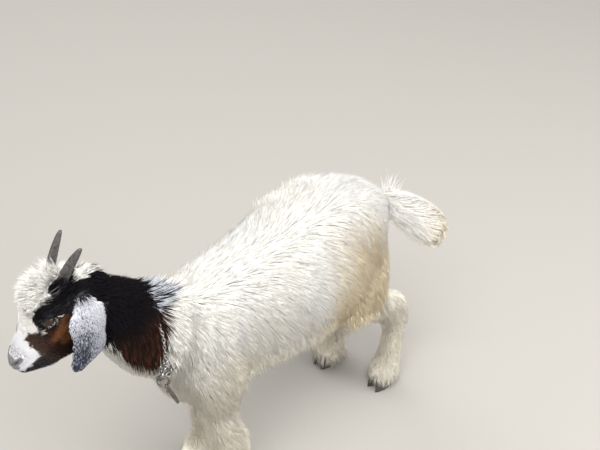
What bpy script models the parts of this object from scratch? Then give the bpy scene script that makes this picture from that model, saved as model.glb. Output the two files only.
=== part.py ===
"""A young goat standing still, with short horns, hanging ears and a chain collar.

The goat looks along -X and its left side is at -Y. The hooves stand on z = 0. Each
part of the body is a closed solid out to the tips of the coat, and neighbours keep a
thin gap. Body sections are given by a front or top point and a back or bottom point
in the goat's upright plane, with a half-width across it.
"""

import math

import bmesh
import bpy
import numpy as np
from mathutils import Matrix, Vector
from mathutils.bvhtree import BVHTree

GAP = 0.0004
VOXEL = 0.0055
BODY_TRIANGLES = 4100
RING_SIDES = 28
STEPS_BETWEEN = 5

# The head's own frame: its origin is the poll, u runs to the nose, v out of the
# forehead and w out of the left cheek.
POLL = Vector((-0.432, 0.014, 0.613))
HEAD_TURN = math.radians(3.0)
HEAD_DROP = math.radians(32.0)
HEAD_TILT = math.radians(-8.0)

# Half the distance between the feet, and the hooves' places along the body.
FRONT_TRACK = 0.052
HIND_TRACK = 0.060
CORONET_HEIGHT = 0.026

SIDE = Vector((0.0, -1.0, 0.0))
LEFT = -1
RIGHT = 1

# Where each leg's joints lie along the body, from the top down to the foot.
FORELEG = {
    LEFT: (-0.262, -0.250, -0.238, -0.236),
    RIGHT: (-0.210, -0.204, -0.218, -0.243),
}
HIND_LEG = {
    LEFT: (0.184, 0.162, 0.152),
    RIGHT: (0.176, 0.146, 0.118),
}

EAR_SIDES = 10
EAR_CUP = 0.10
HORN_SIDES = 10
HORN_RINGS = 8
# The long and short ways across a horn, in u, out and v: its keel faces forward and in.
HORN_KEEL = Vector((0.70, -0.38, 0.60)).normalized()
HORN_FLANK = Vector((0.28, 0.92, 0.27)).normalized()
EYE_RADIUS = 0.0115
EYE_FORWARD = 0.078
EYE_OUT = 0.0245
EYE_HIGH = -0.002

# A claw's outline at some heights: height, toe and heel from its middle, half-width.
HOOF_SIDES = 10
HOOF_FORM = (
    (0.0, 0.029, 0.019, 0.0092),
    (0.010, 0.027, 0.0195, 0.0098),
    (CORONET_HEIGHT - GAP, 0.019, 0.020, 0.0098),
)
CLAW_SPREAD = 0.0106

# The chain lies round the base of the neck.
COLLAR_MIDDLE = Vector((-0.346, 0.003, 0.447))
COLLAR_LEAN = math.radians(6.0)
COLLAR_POINTS = 32
COLLAR_SINK = 0.0015
CHAIN_RADIUS = 0.0045

# The gathered links at the front of the chain, and the snap hook that hangs from them.
KNOT_PLACE = Vector((-0.3520, -0.0610, 0.4030))
KNOT_HALF_SIZE = Vector((0.0100, 0.0060, 0.0105))
SNAP_RING_PLACE = Vector((-0.3575, -0.0505, 0.3785))
SNAP_RING_FACE = Vector((-0.60, -0.70, -0.30))
SNAP_RING_RADIUS = 0.0072
SNAP_BAR_RADIUS = 0.0018
SNAP_END = Vector((-0.3425, -0.0590, 0.3240))
SNAP_BARREL_RADIUS = 0.0034

# The first word that a part's name holds gives its look.
LOOKS = (
    ("hoof", "hoof"),
    ("horn", "horn"),
    ("eye", "eye"),
    ("ear", "grey"),
    ("neck", "black"),
    ("collar", "steel"),
    ("snap", "steel"),
)

COATS = {
    "white": ((0.80, 0.77, 0.70), 0.85),
    "black": ((0.02, 0.018, 0.02), 0.8),
    "grey": ((0.35, 0.37, 0.42), 0.8),
    "horn": ((0.22, 0.19, 0.16), 0.55),
    "hoof": ((0.05, 0.045, 0.042), 0.5),
    "eye": ((0.06, 0.035, 0.015), 0.08),
    "steel": ((0.55, 0.55, 0.56), 0.35),
}


def clear_scene():
    for obj in list(bpy.data.objects):
        bpy.data.objects.remove(obj, do_unlink=True)


def make_collection(name):
    group = bpy.data.collections.new(name)
    bpy.context.scene.collection.children.link(group)
    return group


def make_material(name):
    colour, roughness = COATS[name]
    material = bpy.data.materials.new(name)
    material.use_nodes = True
    shader = material.node_tree.nodes["Principled BSDF"]
    shader.inputs["Base Color"].default_value = (*colour, 1.0)
    shader.inputs["Roughness"].default_value = roughness
    shader.inputs["Metallic"].default_value = 1.0 if name == "steel" else 0.0
    return material


def head_axes():
    """The head's forward, left and forehead directions."""
    forward = Vector(
        (
            -math.cos(HEAD_DROP) * math.cos(HEAD_TURN),
            math.cos(HEAD_DROP) * math.sin(HEAD_TURN),
            -math.sin(HEAD_DROP),
        )
    )
    crown = Vector(
        (
            -math.sin(HEAD_DROP) * math.cos(HEAD_TURN),
            math.sin(HEAD_DROP) * math.sin(HEAD_TURN),
            math.cos(HEAD_DROP),
        )
    )
    left = Vector((-math.sin(HEAD_TURN), -math.cos(HEAD_TURN), 0.0))
    tilt = Matrix.Rotation(HEAD_TILT, 3, forward)
    return forward, tilt @ left, tilt @ crown


HEAD_U, HEAD_W, HEAD_V = head_axes()


def in_head(u, w, v):
    """A point of the head's own frame, in the goat's frame."""
    return POLL + HEAD_U * u + HEAD_W * w + HEAD_V * v


def spline(rows, steps):
    """Rows of numbers made smooth: a Catmull-Rom curve through each column."""
    rows = np.array(rows, float)
    padded = np.vstack([2 * rows[0] - rows[1], rows, 2 * rows[-1] - rows[-2]])
    smooth = []
    for i in range(1, len(padded) - 2):
        before, here, there, after = padded[i - 1 : i + 3]
        for t in np.arange(steps) / steps:
            smooth.append(
                0.5
                * (
                    2 * here
                    + (there - before) * t
                    + (2 * before - 5 * here + 4 * there - after) * t**2
                    + (3 * here - before - 3 * there + after) * t**3
                )
            )
    smooth.append(rows[-1])
    return np.array(smooth)


def ring(top, bottom, side, half_width, fullness):
    """A closed ring of points: an ellipse, squarer the smaller its fullness is."""
    middle = (top + bottom) / 2
    rise = (top - bottom) / 2
    points = []
    for i in range(RING_SIDES):
        turn = 2 * math.pi * i / RING_SIDES
        up = math.copysign(abs(math.cos(turn)) ** fullness, math.cos(turn))
        out = math.copysign(abs(math.sin(turn)) ** fullness, math.sin(turn))
        points.append(middle + rise * up + side * (half_width * out))
    return points


def mesh_object(name, mesh, group):
    obj = bpy.data.objects.new(name, mesh)
    group.objects.link(obj)
    return obj


def loft(name, rings, group):
    """A closed solid through rings of points, domed at both ends."""
    shape = bmesh.new()
    loops = [[shape.verts.new(p) for p in points] for points in rings]
    for one, two in zip(loops, loops[1:]):
        for i in range(RING_SIDES):
            j = (i + 1) % RING_SIDES
            shape.faces.new((one[i], one[j], two[j], two[i]))
    for loop in (loops[0], loops[-1]):
        centre = sum((v.co for v in loop), Vector()) / RING_SIDES
        tip = shape.verts.new(centre)
        for i in range(RING_SIDES):
            shape.faces.new((loop[i], loop[(i + 1) % RING_SIDES], tip))
    bmesh.ops.recalc_face_normals(shape, faces=shape.faces)
    mesh = bpy.data.meshes.new(name)
    shape.to_mesh(mesh)
    shape.free()
    return mesh_object(name, mesh, group)


def body_loft(name, sections, group, y=0.0, fullness=0.95):
    """A solid through sections: front or top x and z, back or bottom x and z, half-width, shift in y."""
    rings = []
    for top_x, top_z, low_x, low_z, half_width, shift in spline(sections, STEPS_BETWEEN):
        top = Vector((top_x, y + shift, top_z))
        low = Vector((low_x, y + shift, low_z))
        rings.append(ring(top, low, SIDE, half_width, fullness))
    return loft(name, rings, group)


def head_loft(name, sections, group, fullness=0.9):
    """A solid through sections across the head: u, top v, bottom v, half-width, and its w."""
    rings = []
    for u, top_v, low_v, half_width, out in spline(sections, STEPS_BETWEEN):
        rings.append(
            ring(in_head(u, out, top_v), in_head(u, out, low_v), HEAD_W, half_width, fullness)
        )
    return loft(name, rings, group)


def make_trunk(group):
    sections = [
        (-0.347, 0.405, -0.345, 0.340, 0.028, 0.0),
        (-0.332, 0.432, -0.330, 0.293, 0.055, 0.0),
        (-0.295, 0.464, -0.292, 0.260, 0.077, 0.0),
        (-0.245, 0.486, -0.240, 0.256, 0.087, 0.0),
        (-0.180, 0.489, -0.180, 0.258, 0.095, 0.0),
        (-0.110, 0.496, -0.110, 0.250, 0.107, 0.0),
        (-0.040, 0.515, -0.040, 0.246, 0.113, 0.0),
        (0.020, 0.522, 0.020, 0.262, 0.108, 0.0),
        (0.070, 0.512, 0.065, 0.295, 0.097, 0.0),
        (0.110, 0.494, 0.100, 0.325, 0.080, 0.0),
        (0.145, 0.468, 0.130, 0.350, 0.056, 0.0),
        (0.167, 0.443, 0.150, 0.375, 0.038, 0.0),
        (0.177, 0.425, 0.165, 0.392, 0.020, 0.0),
    ]
    return body_loft("trunk_form", sections, group, fullness=1.05)


def make_neck(group):
    sections = [
        (-0.225, 0.480, -0.300, 0.295, 0.070, 0.0),
        (-0.275, 0.490, -0.340, 0.322, 0.063, 0.0),
        (-0.320, 0.514, -0.384, 0.380, 0.056, 0.002),
        (-0.358, 0.543, -0.414, 0.436, 0.050, 0.006),
        (-0.395, 0.568, -0.436, 0.482, 0.045, 0.011),
        (-0.428, 0.578, -0.458, 0.524, 0.035, 0.015),
    ]
    return body_loft("neck_form", sections, group)


def make_shoulder(side, group):
    """The muscle over one shoulder blade and upper arm."""
    sections = [
        (-0.275, 0.455, -0.200, 0.450, 0.016, -0.010),
        (-0.308, 0.410, -0.190, 0.405, 0.028, 0.000),
        (-0.322, 0.360, -0.195, 0.352, 0.035, 0.004),
        (-0.314, 0.315, -0.208, 0.300, 0.036, 0.004),
        (-0.298, 0.270, -0.226, 0.262, 0.032, 0.0),
    ]
    rows = [(*row[:5], side * row[5]) for row in sections]
    return body_loft("shoulder_form", rows, group, y=side * 0.055)


def make_foreleg(side, elbow, knee, fetlock, foot, group):
    """One foreleg, down to its hooves, through the x of its elbow, knee, fetlock and foot."""
    sections = [
        (elbow - 0.038, 0.330, elbow + 0.040, 0.318, 0.036, 0.002),
        (elbow - 0.030, 0.285, elbow + 0.032, 0.272, 0.033, 0.002),
        (knee - 0.036, 0.220, knee + 0.022, 0.212, 0.028, 0.002),
        (knee - 0.032, 0.168, knee + 0.036, 0.160, 0.027, 0.0),
        (fetlock - 0.026, 0.120, fetlock + 0.036, 0.112, 0.023, 0.0),
        (fetlock - 0.023, 0.075, fetlock + 0.030, 0.070, 0.024, 0.0),
        (foot - 0.028, 0.045, foot + 0.025, 0.042, 0.025, 0.0),
        (foot - 0.027, 0.012, foot + 0.024, 0.012, 0.023, 0.0),
    ]
    rows = [(*row[:5], side * row[5]) for row in sections]
    return body_loft("foreleg_form", rows, group, y=side * FRONT_TRACK)


def make_hind_leg(side, hock, fetlock, foot, group):
    """One hind leg, down to its hooves, through the x of its hock, fetlock and foot."""
    sections = [
        (0.045, 0.455, 0.116, 0.430, 0.024, -0.016),
        (0.010, 0.410, 0.128, 0.390, 0.034, -0.006),
        (-0.004, 0.350, 0.122, 0.340, 0.040, 0.006),
        (0.008, 0.292, 0.118, 0.288, 0.036, 0.010),
        (hock - 0.118, 0.240, hock - 0.046, 0.262, 0.030, 0.006),
        (hock - 0.064, 0.196, hock + 0.002, 0.226, 0.026, 0.0),
        (hock - 0.038, 0.165, hock + 0.013, 0.186, 0.022, 0.0),
        (fetlock - 0.014, 0.112, fetlock + 0.028, 0.120, 0.020, 0.0),
        (fetlock - 0.022, 0.068, fetlock + 0.028, 0.068, 0.024, 0.0),
        (foot - 0.029, 0.045, foot + 0.028, 0.042, 0.027, 0.0),
        (foot - 0.028, 0.012, foot + 0.024, 0.012, 0.024, 0.0),
    ]
    rows = [(*row[:5], side * row[5]) for row in sections]
    return body_loft("hind_leg_form", rows, group, y=side * HIND_TRACK)


def make_tail(group):
    sections = [
        (0.138, 0.450, 0.136, 0.405, 0.020, 0.006),
        (0.172, 0.447, 0.160, 0.390, 0.022, -0.006),
        (0.204, 0.435, 0.184, 0.366, 0.025, -0.026),
        (0.232, 0.417, 0.206, 0.340, 0.028, -0.048),
        (0.256, 0.393, 0.228, 0.320, 0.026, -0.068),
        (0.270, 0.370, 0.248, 0.328, 0.013, -0.080),
    ]
    return body_loft("tail_form", sections, group)


def make_head(group):
    skull = [
        (-0.014, -0.044, -0.062, 0.016, 0.0),
        (-0.004, -0.032, -0.076, 0.025, 0.0),
        (0.022, -0.008, -0.090, 0.034, 0.0),
        (0.048, 0.010, -0.100, 0.039, 0.0),
        (0.075, 0.014, -0.100, 0.038, 0.0),
        (0.098, 0.004, -0.090, 0.032, 0.0),
        (0.118, -0.009, -0.080, 0.027, 0.0),
        (0.136, -0.019, -0.070, 0.0235, 0.0),
        (0.150, -0.026, -0.065, 0.020, 0.0),
        (0.160, -0.034, -0.060, 0.015, 0.0),
        (0.165, -0.041, -0.054, 0.008, 0.0),
    ]
    jaw = [
        (0.015, -0.050, -0.088, 0.022, 0.0),
        (0.040, -0.050, -0.108, 0.031, 0.0),
        (0.070, -0.050, -0.115, 0.034, 0.0),
        (0.100, -0.045, -0.109, 0.031, 0.0),
        (0.120, -0.045, -0.097, 0.027, 0.0),
        (0.140, -0.045, -0.081, 0.020, 0.0),
        (0.158, -0.045, -0.068, 0.013, 0.0),
    ]
    forelock = [
        (0.010, 0.002, -0.010, 0.012, 0.0),
        (0.026, 0.022, -0.005, 0.022, 0.0),
        (0.045, 0.040, 0.000, 0.028, 0.0),
        (0.068, 0.040, 0.000, 0.025, 0.0),
        (0.085, 0.029, 0.002, 0.018, 0.0),
        (0.091, 0.018, 0.004, 0.008, 0.0),
    ]
    pieces = [head_loft("skull_form", skull, group, 0.88)]
    pieces.append(head_loft("jaw_form", jaw, group, 0.7))
    pieces.append(head_loft("forelock_form", forelock, group))
    for side in (LEFT, RIGHT):
        brow = [
            (0.050, 0.012, -0.010, 0.006, 0.024 * side),
            (0.064, 0.016, -0.016, 0.009, 0.0255 * side),
            (0.082, 0.013, -0.020, 0.009, 0.0245 * side),
            (0.098, 0.002, -0.016, 0.006, 0.020 * side),
        ]
        pieces.append(head_loft("brow_form", brow, group))
    return pieces


def apply_modifier(obj, kind, **settings):
    """Adds one modifier and makes its result the object's own mesh."""
    modifier = obj.modifiers.new(kind.title(), kind)
    for name, value in settings.items():
        setattr(modifier, name, value)
    graph = bpy.context.evaluated_depsgraph_get()
    mesh = bpy.data.meshes.new_from_object(obj.evaluated_get(graph))
    obj.modifiers.clear()
    obj.data = mesh


def fused(pieces, name, group):
    """One even skin over overlapping pieces."""
    whole = bmesh.new()
    for piece in pieces:
        whole.from_mesh(piece.data)
    mesh = bpy.data.meshes.new(name)
    whole.to_mesh(mesh)
    whole.free()
    obj = mesh_object(name, mesh, group)
    for piece in pieces:
        bpy.data.objects.remove(piece, do_unlink=True)
    apply_modifier(obj, "REMESH", mode="VOXEL", voxel_size=VOXEL, use_smooth_shade=True)
    apply_modifier(obj, "SMOOTH", factor=0.5, iterations=6)
    return obj


def thin_out(obj, triangles):
    """Fewer, larger faces where the form allows it."""
    obj.data.calc_loop_triangles()
    ratio = triangles / len(obj.data.loop_triangles)
    apply_modifier(obj, "DECIMATE", ratio=min(1.0, ratio), use_collapse_triangulate=True)


def make_body(group):
    pieces = [make_trunk(group), make_neck(group), make_tail(group)]
    pieces += make_head(group)
    for side in (LEFT, RIGHT):
        pieces.append(make_shoulder(side, group))
        pieces.append(make_foreleg(side, *FORELEG[side], group))
        pieces.append(make_hind_leg(side, *HIND_LEG[side], group))
    body = fused(pieces, "body", group)
    thin_out(body, BODY_TRIANGLES)
    return body


def prism(name, outline, y_from, y_to, group):
    """A cutting block: an outline in x and z, drawn out across the goat."""
    shape = bmesh.new()
    near = [shape.verts.new((x, y_from, z)) for x, z in outline]
    face = shape.faces.new(near)
    drawn = bmesh.ops.extrude_face_region(shape, geom=[face])
    moved = [v for v in drawn["geom"] if isinstance(v, bmesh.types.BMVert)]
    bmesh.ops.translate(shape, verts=moved, vec=(0.0, y_to - y_from, 0.0))
    bmesh.ops.recalc_face_normals(shape, faces=shape.faces)
    mesh = bpy.data.meshes.new(name)
    shape.to_mesh(mesh)
    shape.free()
    return mesh_object(name, mesh, group)


def copy_of(obj, name, group):
    return mesh_object(name, obj.data.copy(), group)


def grow(obj, distance):
    apply_modifier(obj, "DISPLACE", strength=distance, mid_level=0.0)


def keep_inside(obj, cutter):
    apply_modifier(obj, "BOOLEAN", operation="INTERSECT", solver="EXACT", object=cutter)


def keep_outside(obj, cutter):
    apply_modifier(obj, "BOOLEAN", operation="DIFFERENCE", solver="EXACT", object=cutter)


def part_off(whole, name, cutter, group):
    """Divides a solid at a cutting block, with a thin gap, and returns the part inside."""
    piece = copy_of(whole, name, group)
    keep_inside(piece, cutter)
    grow(cutter, 2 * GAP)
    keep_outside(whole, cutter)
    bpy.data.objects.remove(cutter, do_unlink=True)
    return piece


def clear_of(obj, neighbour, group):
    """Cuts a solid back to a thin gap from its neighbour."""
    cutter = copy_of(neighbour, "clearance", group)
    grow(cutter, GAP)
    keep_outside(obj, cutter)
    bpy.data.objects.remove(cutter, do_unlink=True)
    keep_largest(obj)


def keep_largest(obj):
    """Drops the crumbs that a cut can leave."""
    shape = bmesh.new()
    shape.from_mesh(obj.data)
    unseen = set(shape.verts)
    islands = []
    while unseen:
        island = {unseen.pop()}
        edge = list(island)
        while edge:
            near = {e.other_vert(v) for v in edge for e in v.link_edges} - island
            island |= near
            edge = list(near)
        unseen -= island
        islands.append(island)
    islands.sort(key=len, reverse=True)
    for island in islands[1:]:
        bmesh.ops.delete(shape, geom=list(island), context="VERTS")
    shape.to_mesh(obj.data)
    shape.free()


def divide_body(body, group):
    """The trunk keeps the body's mesh; every other part is cut from it."""
    wide = 0.3
    head_outline = [(-0.423, 0.44), (-0.423, 0.70), (-0.68, 0.70), (-0.68, 0.44)]
    neck_outline = [(-0.352, 0.345), (-0.289, 0.557), (-0.36, 0.68), (-0.60, 0.60), (-0.60, 0.345)]
    tail_outline = [(0.168, 0.47), (0.150, 0.36), (0.235, 0.27), (0.34, 0.30), (0.34, 0.47)]
    fore_outline = [(-0.35, 0.290), (-0.195, 0.282), (-0.150, 0.10), (-0.150, -0.02), (-0.35, -0.02)]
    hind_outline = [(-0.012, 0.24), (-0.016, 0.345), (0.05, 0.400), (0.15, 0.415)]
    hind_outline += [(0.26, 0.33), (0.26, -0.02), (0.03, -0.02)]
    knee_outline = [(-0.38, 0.168), (-0.12, 0.160), (-0.12, -0.02), (-0.38, -0.02)]
    hock_outline = [(0.0, 0.150), (0.30, 0.215), (0.30, -0.02), (0.0, -0.02)]
    under_foot = [(-0.40, CORONET_HEIGHT), (0.30, CORONET_HEIGHT), (0.30, -0.05), (-0.40, -0.05)]
    keep_outside(body, prism("under_feet", under_foot, -wide, wide, group))
    bpy.data.objects.remove(bpy.data.objects["under_feet"], do_unlink=True)

    parts = {}
    parts["head"] = part_off(body, "head", prism("cut", head_outline, -wide, wide, group), group)
    parts["neck"] = part_off(body, "neck", prism("cut", neck_outline, -wide, wide, group), group)
    parts["tail"] = part_off(body, "tail", prism("cut", tail_outline, -wide, 0.05, group), group)
    for side, word in ((LEFT, "left"), (RIGHT, "right")):
        limbs = (
            ("fore", fore_outline, knee_outline, 0.018),
            ("hind", hind_outline, hock_outline, 0.016),
        )
        for end, outline, joint_outline, inner in limbs:
            upper = f"{word}_{end}_leg_upper"
            lower = f"{word}_{end}_leg_lower"
            cutter = prism("cut", outline, side * inner, side * wide, group)
            parts[upper] = part_off(body, upper, cutter, group)
            cutter = prism("cut", joint_outline, -wide, wide, group)
            parts[lower] = part_off(parts[upper], lower, cutter, group)
    body.name = "trunk"
    parts["trunk"] = body
    for part in parts.values():
        keep_largest(part)
    return parts


def make_ear(side, name, head, group):
    """A hanging ear: a thin leaf, narrow at its root, cupped a little towards the head."""
    shape = bmesh.new()
    leaf = spline(
        [
            (0.027, 0.022, -0.018, 0.010, 0.010),
            (0.032, 0.033, -0.026, 0.018, 0.008),
            (0.040, 0.046, -0.037, 0.025, 0.006),
            (0.053, 0.054, -0.051, 0.028, 0.0045),
            (0.068, 0.056, -0.066, 0.0285, 0.004),
            (0.085, 0.055, -0.080, 0.026, 0.004),
            (0.101, 0.055, -0.091, 0.019, 0.0035),
            (0.112, 0.056, -0.096, 0.008, 0.003),
        ],
        2,
    )
    loops = []
    for row, (u, w, v, half_width, half_thick) in enumerate(leaf):
        following = leaf[min(row + 1, len(leaf) - 1)] - leaf[max(row - 1, 0)]
        along = Vector((following[0], 0.0, following[2])).normalized()
        across = Vector((along.z, 0.0, -along.x))
        points = []
        for i in range(EAR_SIDES):
            turn = 2 * math.pi * i / EAR_SIDES
            reach = math.cos(turn) * half_width
            cup = EAR_CUP * (math.cos(turn) ** 2) * half_width
            depth = w + math.sin(turn) * half_thick - cup
            points.append(
                in_head(u + across.x * reach, -side * depth, v + across.z * reach)
            )
        loops.append([shape.verts.new(p) for p in points])
    for one, two in zip(loops, loops[1:]):
        for i in range(EAR_SIDES):
            j = (i + 1) % EAR_SIDES
            shape.faces.new((one[i], one[j], two[j], two[i]))
    shape.faces.new(loops[0])
    shape.faces.new(loops[-1])
    bmesh.ops.recalc_face_normals(shape, faces=shape.faces)
    mesh = bpy.data.meshes.new(name)
    shape.to_mesh(mesh)
    shape.free()
    ear = mesh_object(name, mesh, group)
    clear_of(ear, head, group)
    return ear


def make_horn(side, name, head, group):
    """A short horn, flattened from side to side, that sweeps back and a little out."""
    rings = []
    for i in range(HORN_RINGS):
        t = i / (HORN_RINGS - 1)
        back = 0.036 - 0.058 * t
        out = 0.0125 + 0.010 * t
        rise = 0.006 + 0.043 * t - 0.010 * t * t
        taper = math.sqrt(max(0.0, 1.0 - t**2.2))
        half_wide = 0.0012 + 0.0055 * taper
        half_long = 0.0015 + 0.0088 * taper
        points = []
        for k in range(HORN_SIDES):
            turn = 2 * math.pi * k / HORN_SIDES
            keel = HORN_KEEL * (math.cos(turn) * half_long)
            flank = HORN_FLANK * (math.sin(turn) * half_wide)
            skin = keel + flank
            points.append(in_head(back + skin.x, -side * (out + skin.y), rise + skin.z))
        rings.append(points)
    horn = closed_tube(name, rings, group)
    clear_of(horn, head, group)
    return horn


def closed_tube(name, rings, group):
    """A solid through rings that all have the same number of points, flat at its ends."""
    shape = bmesh.new()
    loops = [[shape.verts.new(p) for p in points] for points in rings]
    sides = len(rings[0])
    for one, two in zip(loops, loops[1:]):
        for i in range(sides):
            j = (i + 1) % sides
            shape.faces.new((one[i], one[j], two[j], two[i]))
    shape.faces.new(loops[0])
    shape.faces.new(loops[-1])
    bmesh.ops.recalc_face_normals(shape, faces=shape.faces)
    mesh = bpy.data.meshes.new(name)
    shape.to_mesh(mesh)
    shape.free()
    return mesh_object(name, mesh, group)


def make_eye(side, name, head, group):
    bpy.ops.mesh.primitive_uv_sphere_add(
        segments=12, ring_count=8, radius=EYE_RADIUS, location=in_head(*eye_place(side))
    )
    eye = bpy.context.object
    eye.name = name
    place_in_mesh(eye, group)
    socket = copy_of(eye, "socket", group)
    grow(socket, GAP)
    keep_outside(head, socket)
    bpy.data.objects.remove(socket, do_unlink=True)
    keep_largest(head)
    return eye


def eye_place(side):
    return EYE_FORWARD, -side * EYE_OUT, EYE_HIGH


def place_in_mesh(obj, group):
    """Moves an object's place into its mesh and the object into its collection."""
    obj.data.transform(obj.matrix_basis)
    obj.matrix_basis = Matrix.Identity(4)
    for old in list(obj.users_collection):
        old.objects.unlink(obj)
    group.objects.link(obj)


def make_hoof_claw(x, y, outward, name, group):
    """One of a foot's two claws, with a flat sole on the floor and its toe pointing forward."""
    rings = []
    for height, toe, heel, width in HOOF_FORM:
        points = []
        for i in range(HOOF_SIDES):
            turn = 2 * math.pi * i / HOOF_SIDES
            reach = math.cos(turn)
            length = toe if reach > 0 else heel
            narrowing = 1.0 - 0.35 * max(0.0, reach) ** 2
            points.append(
                Vector((x - reach * length, y + math.sin(turn) * width * narrowing, height))
            )
        rings.append(points)
    claw = closed_tube(name, rings, group)
    claw.data.transform(Matrix.Translation((0.0, outward * CLAW_SPREAD, 0.0)))
    return claw


def make_hooves(group):
    hooves = {}
    feet = (
        ("left_fore", FORELEG[LEFT][-1], LEFT * FRONT_TRACK),
        ("right_fore", FORELEG[RIGHT][-1], RIGHT * FRONT_TRACK),
        ("left_hind", HIND_LEG[LEFT][-1], LEFT * HIND_TRACK),
        ("right_hind", HIND_LEG[RIGHT][-1], RIGHT * HIND_TRACK),
    )
    for foot, x, y in feet:
        for claw, outward in (("inner", -1), ("outer", 1)):
            name = f"{foot}_hoof_{claw}"
            away = outward if y > 0 else -outward
            hooves[name] = make_hoof_claw(x - 0.006, y, away, name, group)
    return hooves


def collar_route(neck, trunk):
    """Points round the neck where the chain lies, a little under the tips of the coat."""
    middle = COLLAR_MIDDLE
    lean = Vector((math.sin(COLLAR_LEAN), 0.0, math.cos(COLLAR_LEAN)))
    trees = [BVHTree.FromObject(o, bpy.context.evaluated_depsgraph_get()) for o in (neck, trunk)]
    reach = []
    for i in range(COLLAR_POINTS):
        turn = 2 * math.pi * i / COLLAR_POINTS
        ray = lean * math.cos(turn) + SIDE * math.sin(turn)
        far = 0.0
        for tree in trees:
            hit = tree.ray_cast(middle + ray * 0.3, -ray, 0.3)
            if hit[0] is not None:
                far = max(far, (hit[0] - middle).length)
        reach.append(far)
    points = []
    for i in range(COLLAR_POINTS):
        turn = 2 * math.pi * i / COLLAR_POINTS
        ray = lean * math.cos(turn) + SIDE * math.sin(turn)
        even = sum(reach[(i + k) % COLLAR_POINTS] for k in (-2, -1, 0, 1, 2)) / 5
        points.append(middle + ray * (even - COLLAR_SINK))
    return points


def tube(name, points, radius, closed, group):
    """A round bar along points, as a mesh."""
    curve = bpy.data.curves.new(name, "CURVE")
    curve.dimensions = "3D"
    curve.bevel_depth = radius
    curve.bevel_resolution = 1
    curve.use_fill_caps = True
    line = curve.splines.new("POLY")
    line.points.add(len(points) - 1)
    for knot, point in zip(line.points, points):
        knot.co = (*point, 1.0)
    line.use_cyclic_u = closed
    bar = bpy.data.objects.new(name, curve)
    bpy.context.scene.collection.objects.link(bar)
    graph = bpy.context.evaluated_depsgraph_get()
    mesh = bpy.data.meshes.new_from_object(bar.evaluated_get(graph))
    bpy.data.objects.remove(bar, do_unlink=True)
    shape = bmesh.new()
    shape.from_mesh(mesh)
    bmesh.ops.remove_doubles(shape, verts=shape.verts, dist=1e-5)
    bmesh.ops.recalc_face_normals(shape, faces=shape.faces)
    shape.to_mesh(mesh)
    shape.free()
    return mesh_object(name, mesh, group)


def make_collar(parts, group):
    """The chain round the neck, in the groove that it presses into the coat."""
    route = collar_route(parts["neck"], parts["trunk"])
    chain = tube("collar_chain", route, CHAIN_RADIUS, True, group)
    groove = tube("groove", route, CHAIN_RADIUS + 2 * GAP, True, group)
    for name in ("neck", "trunk"):
        keep_outside(parts[name], groove)
        keep_largest(parts[name])
    bpy.data.objects.remove(groove, do_unlink=True)
    return chain


def make_collar_knot(parts, group):
    """The clump of links where the chain is caught up at the front of the neck."""
    bpy.ops.mesh.primitive_ico_sphere_add(subdivisions=2, radius=1.0, location=KNOT_PLACE)
    knot = bpy.context.object
    knot.name = "collar_knot"
    knot.scale = KNOT_HALF_SIZE
    place_in_mesh(knot, group)
    for name in ("neck", "trunk", "collar_chain"):
        clear_of(knot, parts[name], group)
    return knot


def make_snap_hook(parts, group):
    """A snap hook: its ring, and the barrel that hangs below it."""
    bpy.ops.mesh.primitive_torus_add(
        major_radius=SNAP_RING_RADIUS,
        minor_radius=SNAP_BAR_RADIUS,
        major_segments=14,
        minor_segments=6,
        location=SNAP_RING_PLACE,
        rotation=SNAP_RING_FACE.to_track_quat("Z", "Y").to_euler(),
    )
    snap = bpy.context.object
    snap.name = "snap_hook"
    place_in_mesh(snap, group)
    hang = SNAP_END - SNAP_RING_PLACE
    top = SNAP_RING_PLACE + hang.normalized() * SNAP_RING_RADIUS
    bpy.ops.mesh.primitive_cylinder_add(
        vertices=8,
        radius=SNAP_BARREL_RADIUS,
        depth=(SNAP_END - top).length,
        location=(SNAP_END + top) / 2,
        rotation=hang.to_track_quat("Z", "Y").to_euler(),
    )
    barrel = bpy.context.object
    place_in_mesh(barrel, group)
    apply_modifier(snap, "BOOLEAN", operation="UNION", solver="EXACT", object=barrel)
    bpy.data.objects.remove(barrel, do_unlink=True)
    for name in ("neck", "trunk", "collar_chain", "collar_knot"):
        clear_of(snap, parts[name], group)
    return snap


def paint(parts):
    """Gives every part its material, by the first of the looks whose word is in its name."""
    materials = {name: make_material(name) for name in COATS}
    for name, obj in parts.items():
        chosen = next((look for word, look in LOOKS if word in name), "white")
        obj.data.materials.clear()
        obj.data.materials.append(materials[chosen])


def stand_at_origin(parts):
    """Moves the goat so that the middle of its footprint is the origin."""
    corners = [v.co for obj in parts.values() for v in obj.data.vertices]
    middle_x = (min(c.x for c in corners) + max(c.x for c in corners)) / 2
    middle_y = (min(c.y for c in corners) + max(c.y for c in corners)) / 2
    floor = min(c.z for c in corners)
    for obj in parts.values():
        obj.data.transform(Matrix.Translation((-middle_x, -middle_y, -floor)))


def main():
    clear_scene()
    goat = make_collection("goat")
    parts = divide_body(make_body(goat), goat)
    for side, word in ((LEFT, "left"), (RIGHT, "right")):
        parts[f"{word}_eye"] = make_eye(side, f"{word}_eye", parts["head"], goat)
    for side, word in ((LEFT, "left"), (RIGHT, "right")):
        parts[f"{word}_horn"] = make_horn(side, f"{word}_horn", parts["head"], goat)
        parts[f"{word}_ear"] = make_ear(side, f"{word}_ear", parts["head"], goat)
        for body_part in ("neck", "trunk"):
            clear_of(parts[f"{word}_ear"], parts[body_part], goat)
    parts.update(make_hooves(goat))
    parts["collar_chain"] = make_collar(parts, goat)
    parts["collar_knot"] = make_collar_knot(parts, goat)
    parts["snap_hook"] = make_snap_hook(parts, goat)
    paint(parts)
    stand_at_origin(parts)


main()
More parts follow.
